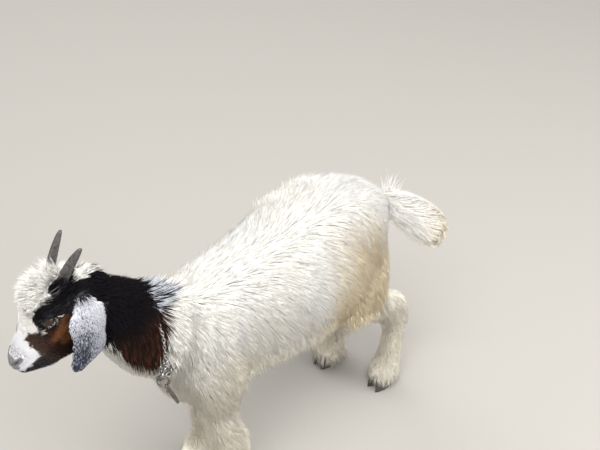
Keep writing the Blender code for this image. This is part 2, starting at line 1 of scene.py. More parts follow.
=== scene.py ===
"""The looks of a young white goat with a dark head and neck, hanging ears and a chain collar.

The goat looks along -X, its left side is at -Y and it stands on z = 0. One skin lies inside
the body's solids by the depth of the coat. Locks of hair grow out of it, each a thin closed
spike, and follow the lie of the coat. Skin and hair take their colour from the same rules.
"""

import math

import bpy
import numpy as np
from mathutils import Matrix, Vector
from mathutils.bvhtree import BVHTree
from mathutils.kdtree import KDTree


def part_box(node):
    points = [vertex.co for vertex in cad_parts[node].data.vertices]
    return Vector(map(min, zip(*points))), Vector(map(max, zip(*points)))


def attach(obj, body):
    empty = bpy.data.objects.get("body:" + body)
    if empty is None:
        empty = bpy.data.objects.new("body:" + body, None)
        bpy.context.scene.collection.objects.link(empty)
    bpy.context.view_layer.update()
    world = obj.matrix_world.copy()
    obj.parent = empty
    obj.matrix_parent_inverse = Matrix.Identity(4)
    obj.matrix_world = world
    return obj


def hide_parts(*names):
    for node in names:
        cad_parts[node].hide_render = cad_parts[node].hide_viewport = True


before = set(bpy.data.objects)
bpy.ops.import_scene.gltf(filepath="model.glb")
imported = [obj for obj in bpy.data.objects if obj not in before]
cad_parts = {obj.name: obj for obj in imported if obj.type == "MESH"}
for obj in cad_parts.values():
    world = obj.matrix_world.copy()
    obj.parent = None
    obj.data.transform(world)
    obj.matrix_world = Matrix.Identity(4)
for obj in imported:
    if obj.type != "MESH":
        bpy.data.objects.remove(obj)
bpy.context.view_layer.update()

MM = 0.001
CAMERA_PLACE = (-0.7494, -0.900, 1.440)
CAMERA_TURN = (math.radians(52.0), 0.0, math.radians(-43.9))
CAMERA_LENS = 57.0
CAMERA_SENSOR = 36.0
EXPOSURE = 0.17
ROOM_COLOUR = (1.0, 0.985, 0.955, 1.0)
ROOM_STRENGTH = 0.68
FLOOR_COLOUR = (0.36, 0.345, 0.32, 1.0)
FLOOR_SIZE = 14.0
# Each lamp's name, place, size in metres and power in watts. All aim at one point.
LAMPS = (
    ("key", (-0.9, -0.9, 3.2), 2.2, 120.0),
    ("fill", (1.8, -2.6, 1.4), 2.5, 82.0),
    ("rear", (0.6, 2.4, 2.6), 2.5, 34.0),
)
LAMP_AIM = (0.0, 0.0, 0.35)

# The head's own frame: u runs to the nose, w out of the left cheek, v out of the forehead.
POLL = np.array((-0.2914, 0.014, 0.613))
HEAD_TURN = math.radians(3.0)
HEAD_DROP = math.radians(32.0)
HEAD_TILT = math.radians(-8.0)
HORN_FOOT = (0.034, 0.015)
BALD_HORN_FOOT = (0.036, 0.0135)

EYE_PLACE = (0.078, 0.0245, -0.002)
EYE_RADIUS = 0.0115
EYE_AXIS = (0.30, 0.94, 0.14)
EYE_LENGTH_AXIS = (0.86, -0.33, 0.42)
EYE_HALF_LENGTH = 0.0118
EYE_HALF_HEIGHT = 0.0046
EYE_RISE = 0.0006
LID_THICKNESS = 0.0012
# A point this far out from the eye's middle lies on the face, not inside the head.
OUTSIDE_EYE = 0.002
EAR_FOOT = (0.027, 0.030, -0.019)
EAR_STALK = (0.0085, 0.0085, 0.0095)

NOSTRIL = ((0.1625, 0.0045, -0.0415), (0.1560, 0.0105, -0.0365), (0.1480, 0.0150, -0.0325))
MOUTH = (
    (0.166, 0.000, -0.0530), (0.160, 0.0085, -0.0528), (0.152, 0.0150, -0.0520),
    (0.142, 0.0195, -0.0510), (0.131, 0.0225, -0.0500), (0.120, 0.0245, -0.0490),
)
PHILTRUM = ((0.168, 0.0, -0.036), (0.167, 0.0, -0.052))
# The hollows and ridges of the face: the line of each, and how far the skin comes out there.
FACE_LINES = (
    (((0.108, 0.022, -0.006), (0.125, 0.016, -0.018), (0.140, 0.012, -0.024)), -0.0012),
    (((0.068, 0.037, -0.030), (0.100, 0.030, -0.040), (0.122, 0.026, -0.046)), 0.0016),
    (((0.045, 0.030, -0.095), (0.085, 0.028, -0.098), (0.120, 0.020, -0.082)), 0.0012),
)
EAR_MIDDLE = ((0.0, 0.0), (0.03, -0.002), (0.06, 0.003), (0.09, 0.008), (0.115, 0.0))

# The dark of the face, along u: how high it reaches, and how far from the middle it stays.
PATCH_TOP = (
    (-0.03, 0.030), (0.036, 0.031), (0.048, 0.031), (0.056, 0.025), (0.064, 0.023),
    (0.072, 0.019), (0.080, 0.015), (0.088, 0.010), (0.093, 0.003), (0.097, -0.006),
    (0.102, -0.013), (0.110, -0.011), (0.119, -0.0125), (0.1235, -0.020), (0.125, -0.046),
    (0.128, -0.0495), (0.140, -0.0515), (0.152, -0.0530), (0.170, -0.0540),
)
BLAZE_HALF = (
    (-0.03, 0.005), (0.005, 0.006), (0.018, 0.0085), (0.041, 0.0085), (0.051, 0.0195),
    (0.060, 0.0205), (0.090, 0.012), (0.122, 0.0072), (0.127, -0.010), (0.17, -0.010),
)
# The height of the dark neck's lower edge, along x.
THROAT_EDGE = (
    (-0.34, 0.508), (-0.282, 0.490), (-0.267, 0.468), (-0.256, 0.440), (-0.244, 0.427),
    (-0.225, 0.420), (-0.12, 0.415),
)
# How steeply the trunk's hair hangs along x, in degrees.
TRUNK_FALL = (
    (-0.22, 76), (-0.14, 70), (-0.06, 60), (0.06, 52), (0.12, 58), (0.16, 72), (0.20, 80),
    (0.30, 86),
)

# How far the solids are grown, so that they run into one another.
OVERLAP = 0.6 * MM
FIRST_VOXEL = 0.0030
SKIN_VOXEL = 0.0021
HOOF_VOXEL = 0.0009
SKIN_SHARE = 0.36
FLESH = (
    "head", "neck", "trunk", "tail", "left_fore_leg_upper", "left_fore_leg_lower",
    "right_fore_leg_upper", "right_fore_leg_lower", "left_hind_leg_upper",
    "left_hind_leg_lower", "right_hind_leg_upper", "right_hind_leg_lower",
)
EARS = ("left_ear", "right_ear")

(
    HEAD, NECK, TRUNK, TAIL, EAR, FORE_UPPER, FORE_LOWER, HIND_UPPER, HIND_LOWER, FORELOCK,
) = range(10)
REGION_WORDS = {
    "fore_leg_upper": FORE_UPPER, "fore_leg_lower": FORE_LOWER,
    "hind_leg_upper": HIND_UPPER, "hind_leg_lower": HIND_LOWER,
    "ear": EAR, "head": HEAD, "neck": NECK, "trunk": TRUNK, "tail": TAIL,
}
# How deep the coat is over the skin in each region, in millimetres.
COAT_DEPTH = {
    HEAD: 2.4, NECK: 9.0, TRUNK: 11.0, TAIL: 15.0, EAR: 1.1,
    FORE_UPPER: 9.0, FORE_LOWER: 5.5, HIND_UPPER: 10.0, HIND_LOWER: 5.5,
}
# Each region's hair, in the order that it grows: its spacing, length and width in
# millimetres, its segments, its locks' spacing in metres and how much they draw together.
HAIR = {
    TRUNK: (1.90, 39.0, 1.12, 2, 0.0075, 0.40),
    NECK: (2.05, 28.0, 1.15, 3, 0.0065, 0.42),
    HIND_UPPER: (2.15, 34.0, 1.25, 2, 0.0080, 0.48),
    FORE_UPPER: (1.95, 32.0, 1.15, 2, 0.0075, 0.48),
    HIND_LOWER: (1.95, 17.0, 1.00, 2, 0.0060, 0.45),
    FORE_LOWER: (1.95, 17.0, 1.00, 2, 0.0060, 0.45),
    TAIL: (1.75, 48.0, 1.10, 4, 0.0045, 0.28),
    HEAD: (1.52, 6.0, 0.85, 2, 0.0034, 0.30),
    EAR: (1.40, 4.6, 0.75, 2, 0.0034, 0.20),
    FORELOCK: (0.86, 20.5, 0.72, 3, 0.0045, 0.25),
}
COAT_NAMES = {
    NECK: "coat_neck", TAIL: "coat_tail", HEAD: "coat_face", EAR: "coat_ears",
    FORELOCK: "forelock", FORE_UPPER: "coat_forearms", FORE_LOWER: "coat_fore_shins",
    HIND_UPPER: "coat_thighs", HIND_LOWER: "coat_hind_shins",
}
COAT_SLOTS = {NECK: "dark_coat", HEAD: "dark_coat", EAR: "ear_coat"}
# How far each leg's hair leans back as it falls.
LEG_LEAN = {FORE_UPPER: 0.22, FORE_LOWER: 0.12, HIND_UPPER: 0.10, HIND_LOWER: 0.16}
# How freely a tuft leaves the lie of the coat, where it isn't the usual share.
LOOSE = {HEAD: 0.15, EAR: 0.15, FORE_UPPER: 0.55}
USUAL_LOOSE = 0.34
CUFF_HEIGHT = 0.047
LOWEST_HAIR = 0.004
ROOT_SINK = 0.0006
UV_PATCH = 0.003
BRIGHTEST = 0.96
# A tuft's width at the start of each segment, by how many it has.
TAPER = {2: (1.0, 0.8), 3: (0.9, 1.0, 0.66), 4: (0.85, 1.0, 0.85, 0.55)}

# The twisted chain, its gathered links and the hook: length, width and wire of a link.
CHAIN_LINK = (8.8 * MM, 6.0 * MM, 2.1 * MM)
CHAIN_PITCH = 5.6 * MM
CLUMP_LINK = (12.0 * MM, 8.6 * MM, 2.7 * MM)
CLUMP_LINKS = 56
CLUMP_SPREAD = np.array((0.0120, 0.0085, 0.0112))
CLUMP_SHIFT = np.array((-0.0060, -0.0062, 0.0100))
CHAIN_FORWARD = 0.0075
HOOK_MIDDLE = np.array((-0.2205, -0.0565, 0.3840))
HOOK_END = np.array((-0.2019, -0.0600, 0.3240))
HOOK_FACING = (-0.44, -0.72, 0.46)
HOOK_RADIUS = 0.0084
HOOK_WIRE = 0.0021
CATCH_LINK = (7.0 * MM, 3.4 * MM, 1.6 * MM)
# The hook's barrel: places along it and its radius there in millimetres.
BARREL = (
    (0.0, 2.0), (0.05, 2.9), (0.30, 3.2), (0.34, 2.4), (0.40, 2.4), (0.44, 3.3), (0.80, 3.4),
    (0.84, 2.5), (0.90, 2.6), (0.95, 3.1), (1.0, 2.2),
)

WHITE = np.array((0.93, 0.912, 0.868))
CREAM = np.array((0.89, 0.825, 0.685))
STAIN = np.array((0.86, 0.715, 0.47))
SOILED = np.array((0.42, 0.22, 0.12))
BLACK = np.array((0.006, 0.005, 0.007))
DARK_BROWN = np.array((0.021, 0.0105, 0.0085))
MUZZLE_BROWN = np.array((0.050, 0.025, 0.017))
RED_BROWN = np.array((0.135, 0.043, 0.022))
RUSSET = np.array((0.20, 0.080, 0.032))
SLATE = np.array((0.075, 0.085, 0.125))
SILVER = np.array((0.66, 0.69, 0.75))
EAR_GREY = np.array((0.58, 0.585, 0.625))
MUZZLE_GREY = np.array((0.60, 0.60, 0.64))
NOSE_GREY = np.array((0.165, 0.158, 0.168))
HORN_SHADES = ((0.020, 0.019, 0.020), (0.088, 0.081, 0.075))
HOOF_SHADES = ((0.022, 0.020, 0.019), (0.085, 0.075, 0.062))


# Helpers


def head_axes():
    """The head's forward, left and forehead directions as rows."""
    cos_drop, sin_drop = math.cos(HEAD_DROP), math.sin(HEAD_DROP)
    cos_turn, sin_turn = math.cos(HEAD_TURN), math.sin(HEAD_TURN)
    forward = Vector((-cos_drop * cos_turn, cos_drop * sin_turn, -sin_drop))
    crown = Vector((-sin_drop * cos_turn, sin_drop * sin_turn, cos_drop))
    left = Vector((-sin_turn, -cos_turn, 0.0))
    tilt = Matrix.Rotation(HEAD_TILT, 3, forward)
    return np.array((forward, tilt @ left, tilt @ crown))


HEAD_AXES = head_axes()


def to_head(points):
    """Points in the head's own frame: u, w, v."""
    return (points - POLL) @ HEAD_AXES.T


def from_head(local):
    return POLL + np.asarray(local) @ HEAD_AXES


def mirrored(local):
    """The head's left half, and which way each point lies."""
    side = np.where(local[:, 1] < 0, -1.0, 1.0)
    return np.stack((local[:, 0], np.abs(local[:, 1]), local[:, 2]), 1), side


def unit(vectors):
    size = np.linalg.norm(vectors, axis=-1, keepdims=True)
    return vectors / np.maximum(size, 1e-12)


def rows(*columns):
    """Points or directions from their columns, each an array or one number for all."""
    return np.stack(np.broadcast_arrays(*columns), 1)


def rise(low, high, value):
    """Goes smoothly from 0 at low to 1 at high."""
    t = np.clip((value - low) / (high - low), 0.0, 1.0)
    return t * t * (3 - 2 * t)


def hill(centre, half, value):
    """1 at the centre and 0 past half to either side."""
    return rise(0.0, 1.0, 1.0 - np.abs(value - centre) / half)


def along(value, stops):
    """A curve through (value, result) stops, straight between them."""
    places, results = zip(*stops)
    return np.interp(value, places, results)


def blend(one, two, share):
    return one + (two - one) * share[..., None]


def scatter(points, seed):
    """A random number from 0 to 1 for each point, fixed by its place."""
    bumps = np.sin(points @ np.array((12989.8, 7823.3, 3719.7)) + seed * 1.37) * 43758.5453
    return bumps - np.floor(bumps)


def scattered_ways(points, *seeds):
    """A random offset from -0.5 to 0.5 along each axis for each point."""
    return np.stack([scatter(points, seed) - 0.5 for seed in seeds], 1)


def soft_noise(points, size, seed):
    """A smooth noise from -1 to 1 whose bumps are about as large as size."""
    total = np.zeros(len(points))
    rng = np.random.default_rng(seed)
    for _ in range(5):
        wave = rng.normal(size=3) * 2.6 / size
        total += np.sin(points @ wave + rng.uniform(0, 6.28))
    return np.clip(total / 2.6, -1.0, 1.0)


def new_object(name, data):
    obj = bpy.data.objects.new(name, data)
    bpy.context.scene.collection.objects.link(obj)
    return obj


def deselect():
    if bpy.context.mode != "OBJECT":
        bpy.ops.object.mode_set(mode="OBJECT")
    bpy.ops.object.select_all(action="DESELECT")


def make_active(obj):
    deselect()
    obj.select_set(True)
    bpy.context.view_layer.objects.active = obj


def edited(obj, operator, **settings):
    """Runs an operator of edit mode on the whole of an object."""
    make_active(obj)
    bpy.ops.object.mode_set(mode="EDIT")
    bpy.ops.mesh.select_all(action="SELECT")
    operator(**settings)
    bpy.ops.object.mode_set(mode="OBJECT")


def apply_modifier(obj, kind, **settings):
    make_active(obj)
    modifier = obj.modifiers.new(kind.title(), kind)
    for name, value in settings.items():
        setattr(modifier, name, value)
    bpy.ops.object.modifier_apply(modifier=modifier.name)


def join(objects, name):
    deselect()
    for obj in objects:
        obj.select_set(True)
    bpy.context.view_layer.objects.active = objects[0]
    if len(objects) > 1:
        bpy.ops.object.join()
    objects[0].name = name
    objects[0].data.name = name
    return objects[0]


def merged_copy(node):
    """A copy of a solid of the frame, with its loose triangles joined up."""
    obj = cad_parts[node].copy()
    obj.data = obj.data.copy()
    obj.parent = None
    for key in list(obj.keys()):
        del obj[key]
    bpy.context.scene.collection.objects.link(obj)
    edited(obj, bpy.ops.mesh.remove_doubles, threshold=1e-5)
    return obj


def remeshed(obj, voxel):
    """Gives the object an even, closed and slightly smoothed mesh."""
    apply_modifier(obj, "REMESH", mode="VOXEL", voxel_size=voxel)
    apply_modifier(obj, "SMOOTH", factor=0.5, iterations=4)


def read_all(items, name, width, kind=float):
    """One property of all the points, edges, faces or corners of a mesh, as rows."""
    values = np.empty(len(items) * width, kind)
    items.foreach_get(name, values)
    return values.reshape(-1, width)


def points_of(obj):
    return read_all(obj.data.vertices, "co", 3)


def normals_of(obj):
    return read_all(obj.data.vertices, "normal", 3)


def set_points(obj, points):
    obj.data.vertices.foreach_set("co", points.ravel())
    obj.data.update()


def solid_points(node):
    return np.array([v.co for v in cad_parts[node].data.vertices])


def spread_out(values, edges, rounds):
    """Evens out values over a mesh, by the mean of each point's neighbours."""
    count = np.bincount(edges.ravel(), minlength=len(values))
    for _ in range(rounds):
        total = np.bincount(edges[:, 0], values[edges[:, 1]], len(values))
        total += np.bincount(edges[:, 1], values[edges[:, 0]], len(values))
        values = (values + total / np.maximum(count, 1)) / 2
    return values


# The regions of the body


def region_of(node):
    return next(region for word, region in REGION_WORDS.items() if word in node)


def region_finder():
    """A search tree over the frame's flesh, and the region of each of its triangles."""
    points = []
    faces = []
    regions = []
    for node in FLESH + EARS:
        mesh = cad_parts[node].data
        start = len(points)
        points += [v.co.copy() for v in mesh.vertices]
        faces += [[start + i for i in polygon.vertices] for polygon in mesh.polygons]
        regions += [region_of(node)] * len(mesh.polygons)
    return BVHTree.FromPolygons(points, faces), np.array(regions)


REGION_TREE, REGION_LIST = region_finder()


def regions_at(points):
    found = [REGION_TREE.find_nearest(Vector(p))[2] for p in points]
    return REGION_LIST[np.array(found)]


def collar_ring():
    """The chain's middle, its plane's normal, and its line round the neck."""
    points = solid_points("collar_chain")
    middle = (points.min(0) + points.max(0)) / 2
    _, _, axes = np.linalg.svd(points - points.mean(0), full_matrices=False)
    normal = axes[2] if axes[2][0] > 0 else -axes[2]
    side = np.array((0.0, -1.0, 0.0))
    up = unit(np.cross(side, normal))
    if up[2] < 0:
        up = -up
    offset = points - middle
    turn = np.arctan2(offset @ side, offset @ up)
    steps = 64
    line = []
    for i in range(steps):
        angle = -math.pi + 2 * math.pi * (i + 0.5) / steps
        gap = np.abs((turn - angle + math.pi) % (2 * math.pi) - math.pi)
        weight = np.exp(-((gap / 0.09) ** 2))
        line.append((offset * weight[:, None]).sum(0) / weight.sum() + middle)
    line = np.array(line)
    forward = CHAIN_FORWARD * rise(0.505, 0.470, line[:, 2])
    return middle, normal, line - normal * forward[:, None]


COLLAR_MIDDLE, COLLAR_NORMAL, COLLAR_LINE = collar_ring()


def from_collar(points):
    """How far points are behind the collar's plane."""
    return (points - COLLAR_MIDDLE) @ COLLAR_NORMAL


def search_tree(points):
    tree = KDTree(len(points))
    for i, point in enumerate(points):
        tree.insert(point, i)
    tree.balance()
    return tree


CLUMP_TREE = search_tree([*solid_points("collar_knot"), *solid_points("snap_hook")])
CHAIN_TREE = search_tree(COLLAR_LINE)


def from_metal(points, clump=False):
    """The distance from each point to the clump and hook, or to the chain's middle."""
    gap = np.full(len(points), 1.0)
    close = np.flatnonzero(np.abs(from_collar(points)) < 0.06)
    tree = CLUMP_TREE if clump else CHAIN_TREE
    gap[close] = [tree.find(p)[2] for p in points[close].tolist()]
    return gap


def from_horn(half, foot=HORN_FOOT):
    """The distance from each point to the middle of a horn's foot."""
    return np.linalg.norm(half[:, :2] - foot, axis=1)


def forelock_share(local):
    """Where the tall fluff on the forehead grows, from 0 to 1."""
    u, w, v = local.T
    crown = hill(0.052, 0.046, u) * rise(-0.004, 0.012, v)
    return np.clip(crown * 1.5, 0.0, 1.0) * (1.0 - rise(0.020, 0.031, np.abs(w)))


def coat_depth(points, regions):
    """How far the skin lies below the tips of the coat, in metres."""
    depth = np.zeros(len(points))
    for region, value in COAT_DEPTH.items():
        depth[regions == region] = value
    local = to_head(points)
    u, _, v = local.T
    for extra, share in (
        (10.0, forelock_share(local)),
        (-1.2, rise(0.105, 0.130, u)),
        (2.5, rise(-0.075, -0.100, v)),
        (4.0, rise(0.025, 0.0, u)),
    ):
        depth += extra * share * (regions == HEAD)
    near_clump = rise(0.030, 0.012, from_metal(points, clump=True))
    depth += 2.0 * near_clump * np.isin(regions, (NECK, TRUNK))
    feet = rise(0.075, 0.030, points[:, 2])
    depth = depth * (1 - feet) + 2.4 * feet
    return np.maximum(depth, 1.0) * MM


# The skin


def reshaped(points, normals):
    """Fills the hollow in front of each thigh and draws the chest in."""
    x, y, z = points.T
    hollow = hill(0.158, 0.046, x) * hill(0.315, 0.085, z) * rise(0.05, 0.08, np.abs(y))
    chest = rise(-0.165, -0.212, x) * hill(0.346, 0.060, z)
    return points + normals * (0.008 * hollow)[:, None] + rows(0.019 * chest, 0.0, 0.0)


def make_skin():
    """The skin of the whole body, inside the solids by the depth of the coat."""
    solids = [grown(merged_copy(node), OVERLAP) for node in (*FLESH, "left_eye", "right_eye")]
    body = join(solids, "skin")
    remeshed(body, FIRST_VOXEL)
    points = points_of(body)
    edges = read_all(body.data.edges, "vertices", 2, int)
    depth = spread_out(coat_depth(points, regions_at(points)), edges, 14)
    normals = normals_of(body)
    set_points(body, reshaped(points - normals * depth[:, None], normals))
    ears = []
    for node in EARS:
        ear = merged_copy(node)
        apply_modifier(ear, "SUBSURF", levels=2, render_levels=2)
        ears.append(grown(ear, -COAT_DEPTH[EAR] * MM))
    skin = join([body, *ears, ear_root(1), ear_root(-1)], "skin")
    skin.data.materials.clear()
    remeshed(skin, SKIN_VOXEL)
    thin_body(skin)
    soften(skin, EAR_FOOT, reach=0.024, rounds=40)
    refine(skin, near_face_detail)
    refine(skin, near_fine_detail)
    set_points(skin, shaped_face(points_of(skin), normals_of(skin)))
    edited(skin, bpy.ops.mesh.quads_convert_to_tris)
    skin.data.shade_smooth()
    return skin


def grown(obj, distance):
    apply_modifier(obj, "DISPLACE", strength=distance, mid_level=0.0)
    return obj


def ear_root(side):
    """The round stalk from which an ear hangs."""
    deselect()
    place = from_head((0.028, side * 0.027, -0.020))
    bpy.ops.mesh.primitive_uv_sphere_add(segments=20, ring_count=12, radius=1.0, location=place)
    root = bpy.context.object
    root.scale = EAR_STALK
    root.data.transform(root.matrix_basis)
    root.matrix_basis = Matrix.Identity(4)
    return root


def thin_body(skin):
    """Takes faces out of the skin everywhere but on the head and ears."""
    points = points_of(skin)
    body = (points[:, 0] > -0.262) | (to_head(points)[:, 0] < -0.02)
    group = skin.vertex_groups.new(name="body")
    group.add(np.flatnonzero(body).tolist(), 1.0, "REPLACE")
    apply_modifier(skin, "DECIMATE", ratio=SKIN_SHARE, vertex_group="body")
    skin.vertex_groups.clear()


def refine(skin, wanted):
    """Cuts the chosen faces of the head into four."""
    half, _ = mirrored(to_head(points_of(skin)))
    make_active(skin)
    bpy.ops.object.mode_set(mode="EDIT")
    bpy.ops.mesh.select_all(action="DESELECT")
    bpy.ops.object.mode_set(mode="OBJECT")
    skin.data.vertices.foreach_set("select", wanted(half))
    bpy.ops.object.mode_set(mode="EDIT")
    bpy.ops.mesh.select_mode(type="VERT")
    bpy.ops.mesh.subdivide(number_cuts=1, smoothness=0.0)
    bpy.ops.object.mode_set(mode="OBJECT")


def soften(skin, centre, reach, rounds):
    """Evens out the skin round a place on each side of the head."""
    points = points_of(skin)
    half, _ = mirrored(to_head(points))
    share = rise(reach, reach * 0.5, np.linalg.norm(half - centre, axis=1))[:, None]
    edges = read_all(skin.data.edges, "vertices", 2, int)
    for _ in range(rounds):
        even = np.stack([spread_out(points[:, axis], edges, 1) for axis in range(3)], 1)
        points = points * (1 - share) + even * share
    set_points(skin, points)


def near_face_detail(half):
    muzzle = (half[:, 0] > 0.110) & (half[:, 2] > -0.085)
    return muzzle | (np.linalg.norm(half - EYE_PLACE, axis=1) < 0.024)


def near_fine_detail(half):
    spread, outward, _ = eye_opening(half)
    nostril, _ = distance_to_line(half, NOSTRIL)
    mouth, _ = distance_to_line(half, MOUTH)
    eye = (spread < 2.0) & (outward > OUTSIDE_EYE)
    return eye | (nostril < 0.007) | (mouth < 0.004)


def eye_frame():
    """The eye's own directions: along its opening, up across it, and out of the head."""
    out = unit(np.array(EYE_AXIS))
    length = np.array(EYE_LENGTH_AXIS)
    length = unit(length - out * (length @ out))
    up = np.cross(length, out)
    if up[2] < 0:
        up = -up
    return length, up, out


def eye_opening(half):
    """How far a point is out from the middle of the eye's opening, where 1 is its rim.

    It also gives how far out of the head the point is, and how far up in half openings.
    """
    length, up, out = eye_frame()
    offset = half - EYE_PLACE
    x = (offset @ length) / EYE_HALF_LENGTH
    y = (offset @ up - EYE_RISE) / EYE_HALF_HEIGHT
    lens = np.abs(y) / np.maximum(1.0 - x * x * 0.92, 0.08)
    return np.maximum(np.abs(x), lens), offset @ out, y


def distance_to_line(points, stops):
    """The distance from points to a line of straight stretches, and where along it, from 0 to 1."""
    best = np.full(len(points), 9.0)
    place = np.zeros(len(points))
    stops = np.array(stops, float)
    for i, (one, two) in enumerate(zip(stops, stops[1:])):
        run = two - one
        t = np.clip((points - one) @ run / (run @ run), 0, 1)
        far = np.linalg.norm(points - one - t[:, None] * run, axis=1)
        place = np.where(far < best, (i + t) / (len(stops) - 1), place)
        best = np.minimum(best, far)
    return best, place


def ear_place(half):
    """How far a point is down the ear from its root, and how far across it to its front edge."""
    u, _, v = half.T
    return (u - 0.027) * 0.737 - (v + 0.018) * 0.676, (u - 0.027) * 0.676 + (v + 0.018) * 0.737


def ear_shape(half):
    """Widens the ear, most of all behind its lower half, and turns its tip forwards."""
    down, across = ear_place(half)
    across_middle = across - along(down, EAR_MIDDLE)
    own = rise(0.0390, 0.0440, half[:, 1]) * (np.abs(across) < 0.045)
    behind = rise(0.0, -0.010, across_middle)
    wide = across_middle * 0.22 * rise(0.055, 0.030, down) + 0.006 * rise(0.080, 0.110, down)
    wide += across_middle * 0.50 * rise(0.040, 0.012, down) * behind
    wide -= (0.014 * hill(0.084, 0.034, down) + 0.006 * hill(0.102, 0.026, down)) * behind
    wide += 0.007 * hill(0.042, 0.038, down) * rise(0.004, 0.014, across_middle)
    return np.array((0.676, 0.0, 0.737)) * (wide * own)[:, None]


def shaped_face(points, normals):
    """Eye sockets and lids, nostrils, mouth, and the hollows and ridges of the face."""
    half, side = mirrored(to_head(points))
    normal = normals @ HEAD_AXES.T
    normal[:, 1] *= side
    face = rise(-0.02, 0.02, half[:, 0])[:, None]
    half = half + rise(0.082, 0.135, half[:, 0])[:, None] * (0.0012, 0.0, -0.0042)
    move = np.zeros(len(half))
    for line, out in FACE_LINES:
        move += out * rise(0.010, 0.0, distance_to_line(half, line)[0])
    far, place = distance_to_line(half, MOUTH)
    move -= 0.0030 * rise(0.0030, 0.0004, far) * rise(1.02, 0.85, place)
    move += 0.0011 * hill(0.0048, 0.0035, far) * rise(0.128, 0.142, half[:, 0])
    far, _ = distance_to_line(half, PHILTRUM)
    move -= 0.0016 * rise(0.0022, 0.0003, far)
    far, place = distance_to_line(half, NOSTRIL)
    wide = 0.0026 + 0.0006 * hill(0.35, 0.5, place)
    move += 0.0013 * hill(0.0050, 0.0034, far)
    move -= 0.0062 * rise(wide, 0.0006, far)
    half = half + normal * move[:, None] * face
    u, _, v = half.T
    lip = rise(0.116, 0.132, u) * rise(-0.0525, -0.0575, v) * rise(0.172, 0.160, u)
    half[:, 2] -= 0.0045 * lip
    bridge = hill(0.128, 0.045, u) * rise(-0.045, -0.020, half[:, 2])
    half[:, 2] -= 0.0015 * bridge
    half = half + ear_shape(half)

    spread, outward, y = eye_opening(half)
    offset = half - EYE_PLACE
    radius = np.linalg.norm(offset, axis=1)
    lid_top = EYE_RADIUS + LID_THICKNESS + 0.0009 * hill(1.25, 0.35, spread) * (y > 0)
    crease = 0.0011 * hill(1.75, 0.22, spread) * (y > 0)
    crease = crease + 0.0006 * hill(1.7, 0.25, spread) * (y < 0)
    facing = outward > OUTSIDE_EYE
    near = rise(2.6, 1.5, spread) * facing
    lidded = np.maximum(radius, lid_top) * near + radius * (1 - near) - crease * facing
    lidded = np.where((spread < 1.0) & facing, EYE_RADIUS - 0.0030, lidded)
    close = (radius < EYE_RADIUS + 0.012) & facing
    scaled = EYE_PLACE + unit(offset) * lidded[:, None]
    half = np.where(close[:, None], scaled, half)
    half[:, 1] *= side
    return from_head(half)


# Colours


def head_colour(points, local, chance):
    """The blaze, the dark patches through the eyes, the russet cheeks and the dark lips."""
    half, side = mirrored(local)
    u, w, v = half.T
    right = side < 0
    rough = 0.0022 * soft_noise(points, 0.012, 3) + 0.0024 * (chance - 0.5)
    other = 0.003 * right * soft_noise(points, 0.05, 4)
    top = along(u + rough - 0.0035 * rise(0.100, 0.085, u), PATCH_TOP)
    beside = w - along(u, BLAZE_HALF) - 0.006 * right * rise(-0.035, -0.020, v)
    inside = np.minimum(top + other - v, beside) + rough
    far_side = 0.014 * right * rise(0.110, 0.070, u)
    crown = rise(0.03, 0.01, u) * rise(0.024, 0.014, w)
    inside = inside - far_side * np.maximum(rise(-0.02, 0.01, v), crown) * rise(-0.012, -0.004, u)

    russet = hill(0.080, 0.034, u) * hill(-0.040, 0.034, v)
    patchy = 0.22 * soft_noise(points, 0.010, 5) * rise(0.0, 0.15, russet)
    russet = rise(0.05, 0.55, russet + patchy)
    shade = blend(BLACK, DARK_BROWN * 1.5, rise(0.060, 0.100, u) * rise(0.0, -0.03, v))
    shade = blend(shade, RUSSET, russet * rise(-0.084, -0.060, v))
    forward = rise(0.100, 0.108, u) * rise(-0.060, -0.050, v)
    shade = blend(shade, MUZZLE_BROWN, forward * 0.9)
    shade = blend(shade, BLACK * 1.3, rise(0.124, 0.130, u) * rise(-0.050, -0.056, v))

    white = blend(WHITE, MUZZLE_GREY, 0.90 * rise(0.090, 0.142, u))
    freckle = rise(0.130, 0.142, u) * rise(-0.042, -0.030, v) * (scatter(points, 8) > 0.72)
    white = blend(white, NOSE_GREY * 0.5, freckle)
    colour = blend(white, shade, rise(-0.0006, 0.0010, inside))
    specks = hill(0.083, 0.026, u) * hill(-0.0105, 0.0080, v) * (w > 0.016)
    speck = (specks > 0.20) & (scatter(points, 7) > 0.86)
    streak = hill(0.0975 - 0.55 * (v + 0.014), 0.0026, u) * hill(-0.0150, 0.0075, v)
    streak = streak * (w > 0.018) > 0.3
    tuft = hill(0.0215, 0.0040, u - 0.4 * (v + 0.008)) * hill(-0.008, 0.009, v)
    tuft = tuft * (w > 0.010) > 0.3
    colour[speck | streak | tuft & (scatter(points, 9) > 0.3)] = WHITE * 0.85
    return colour


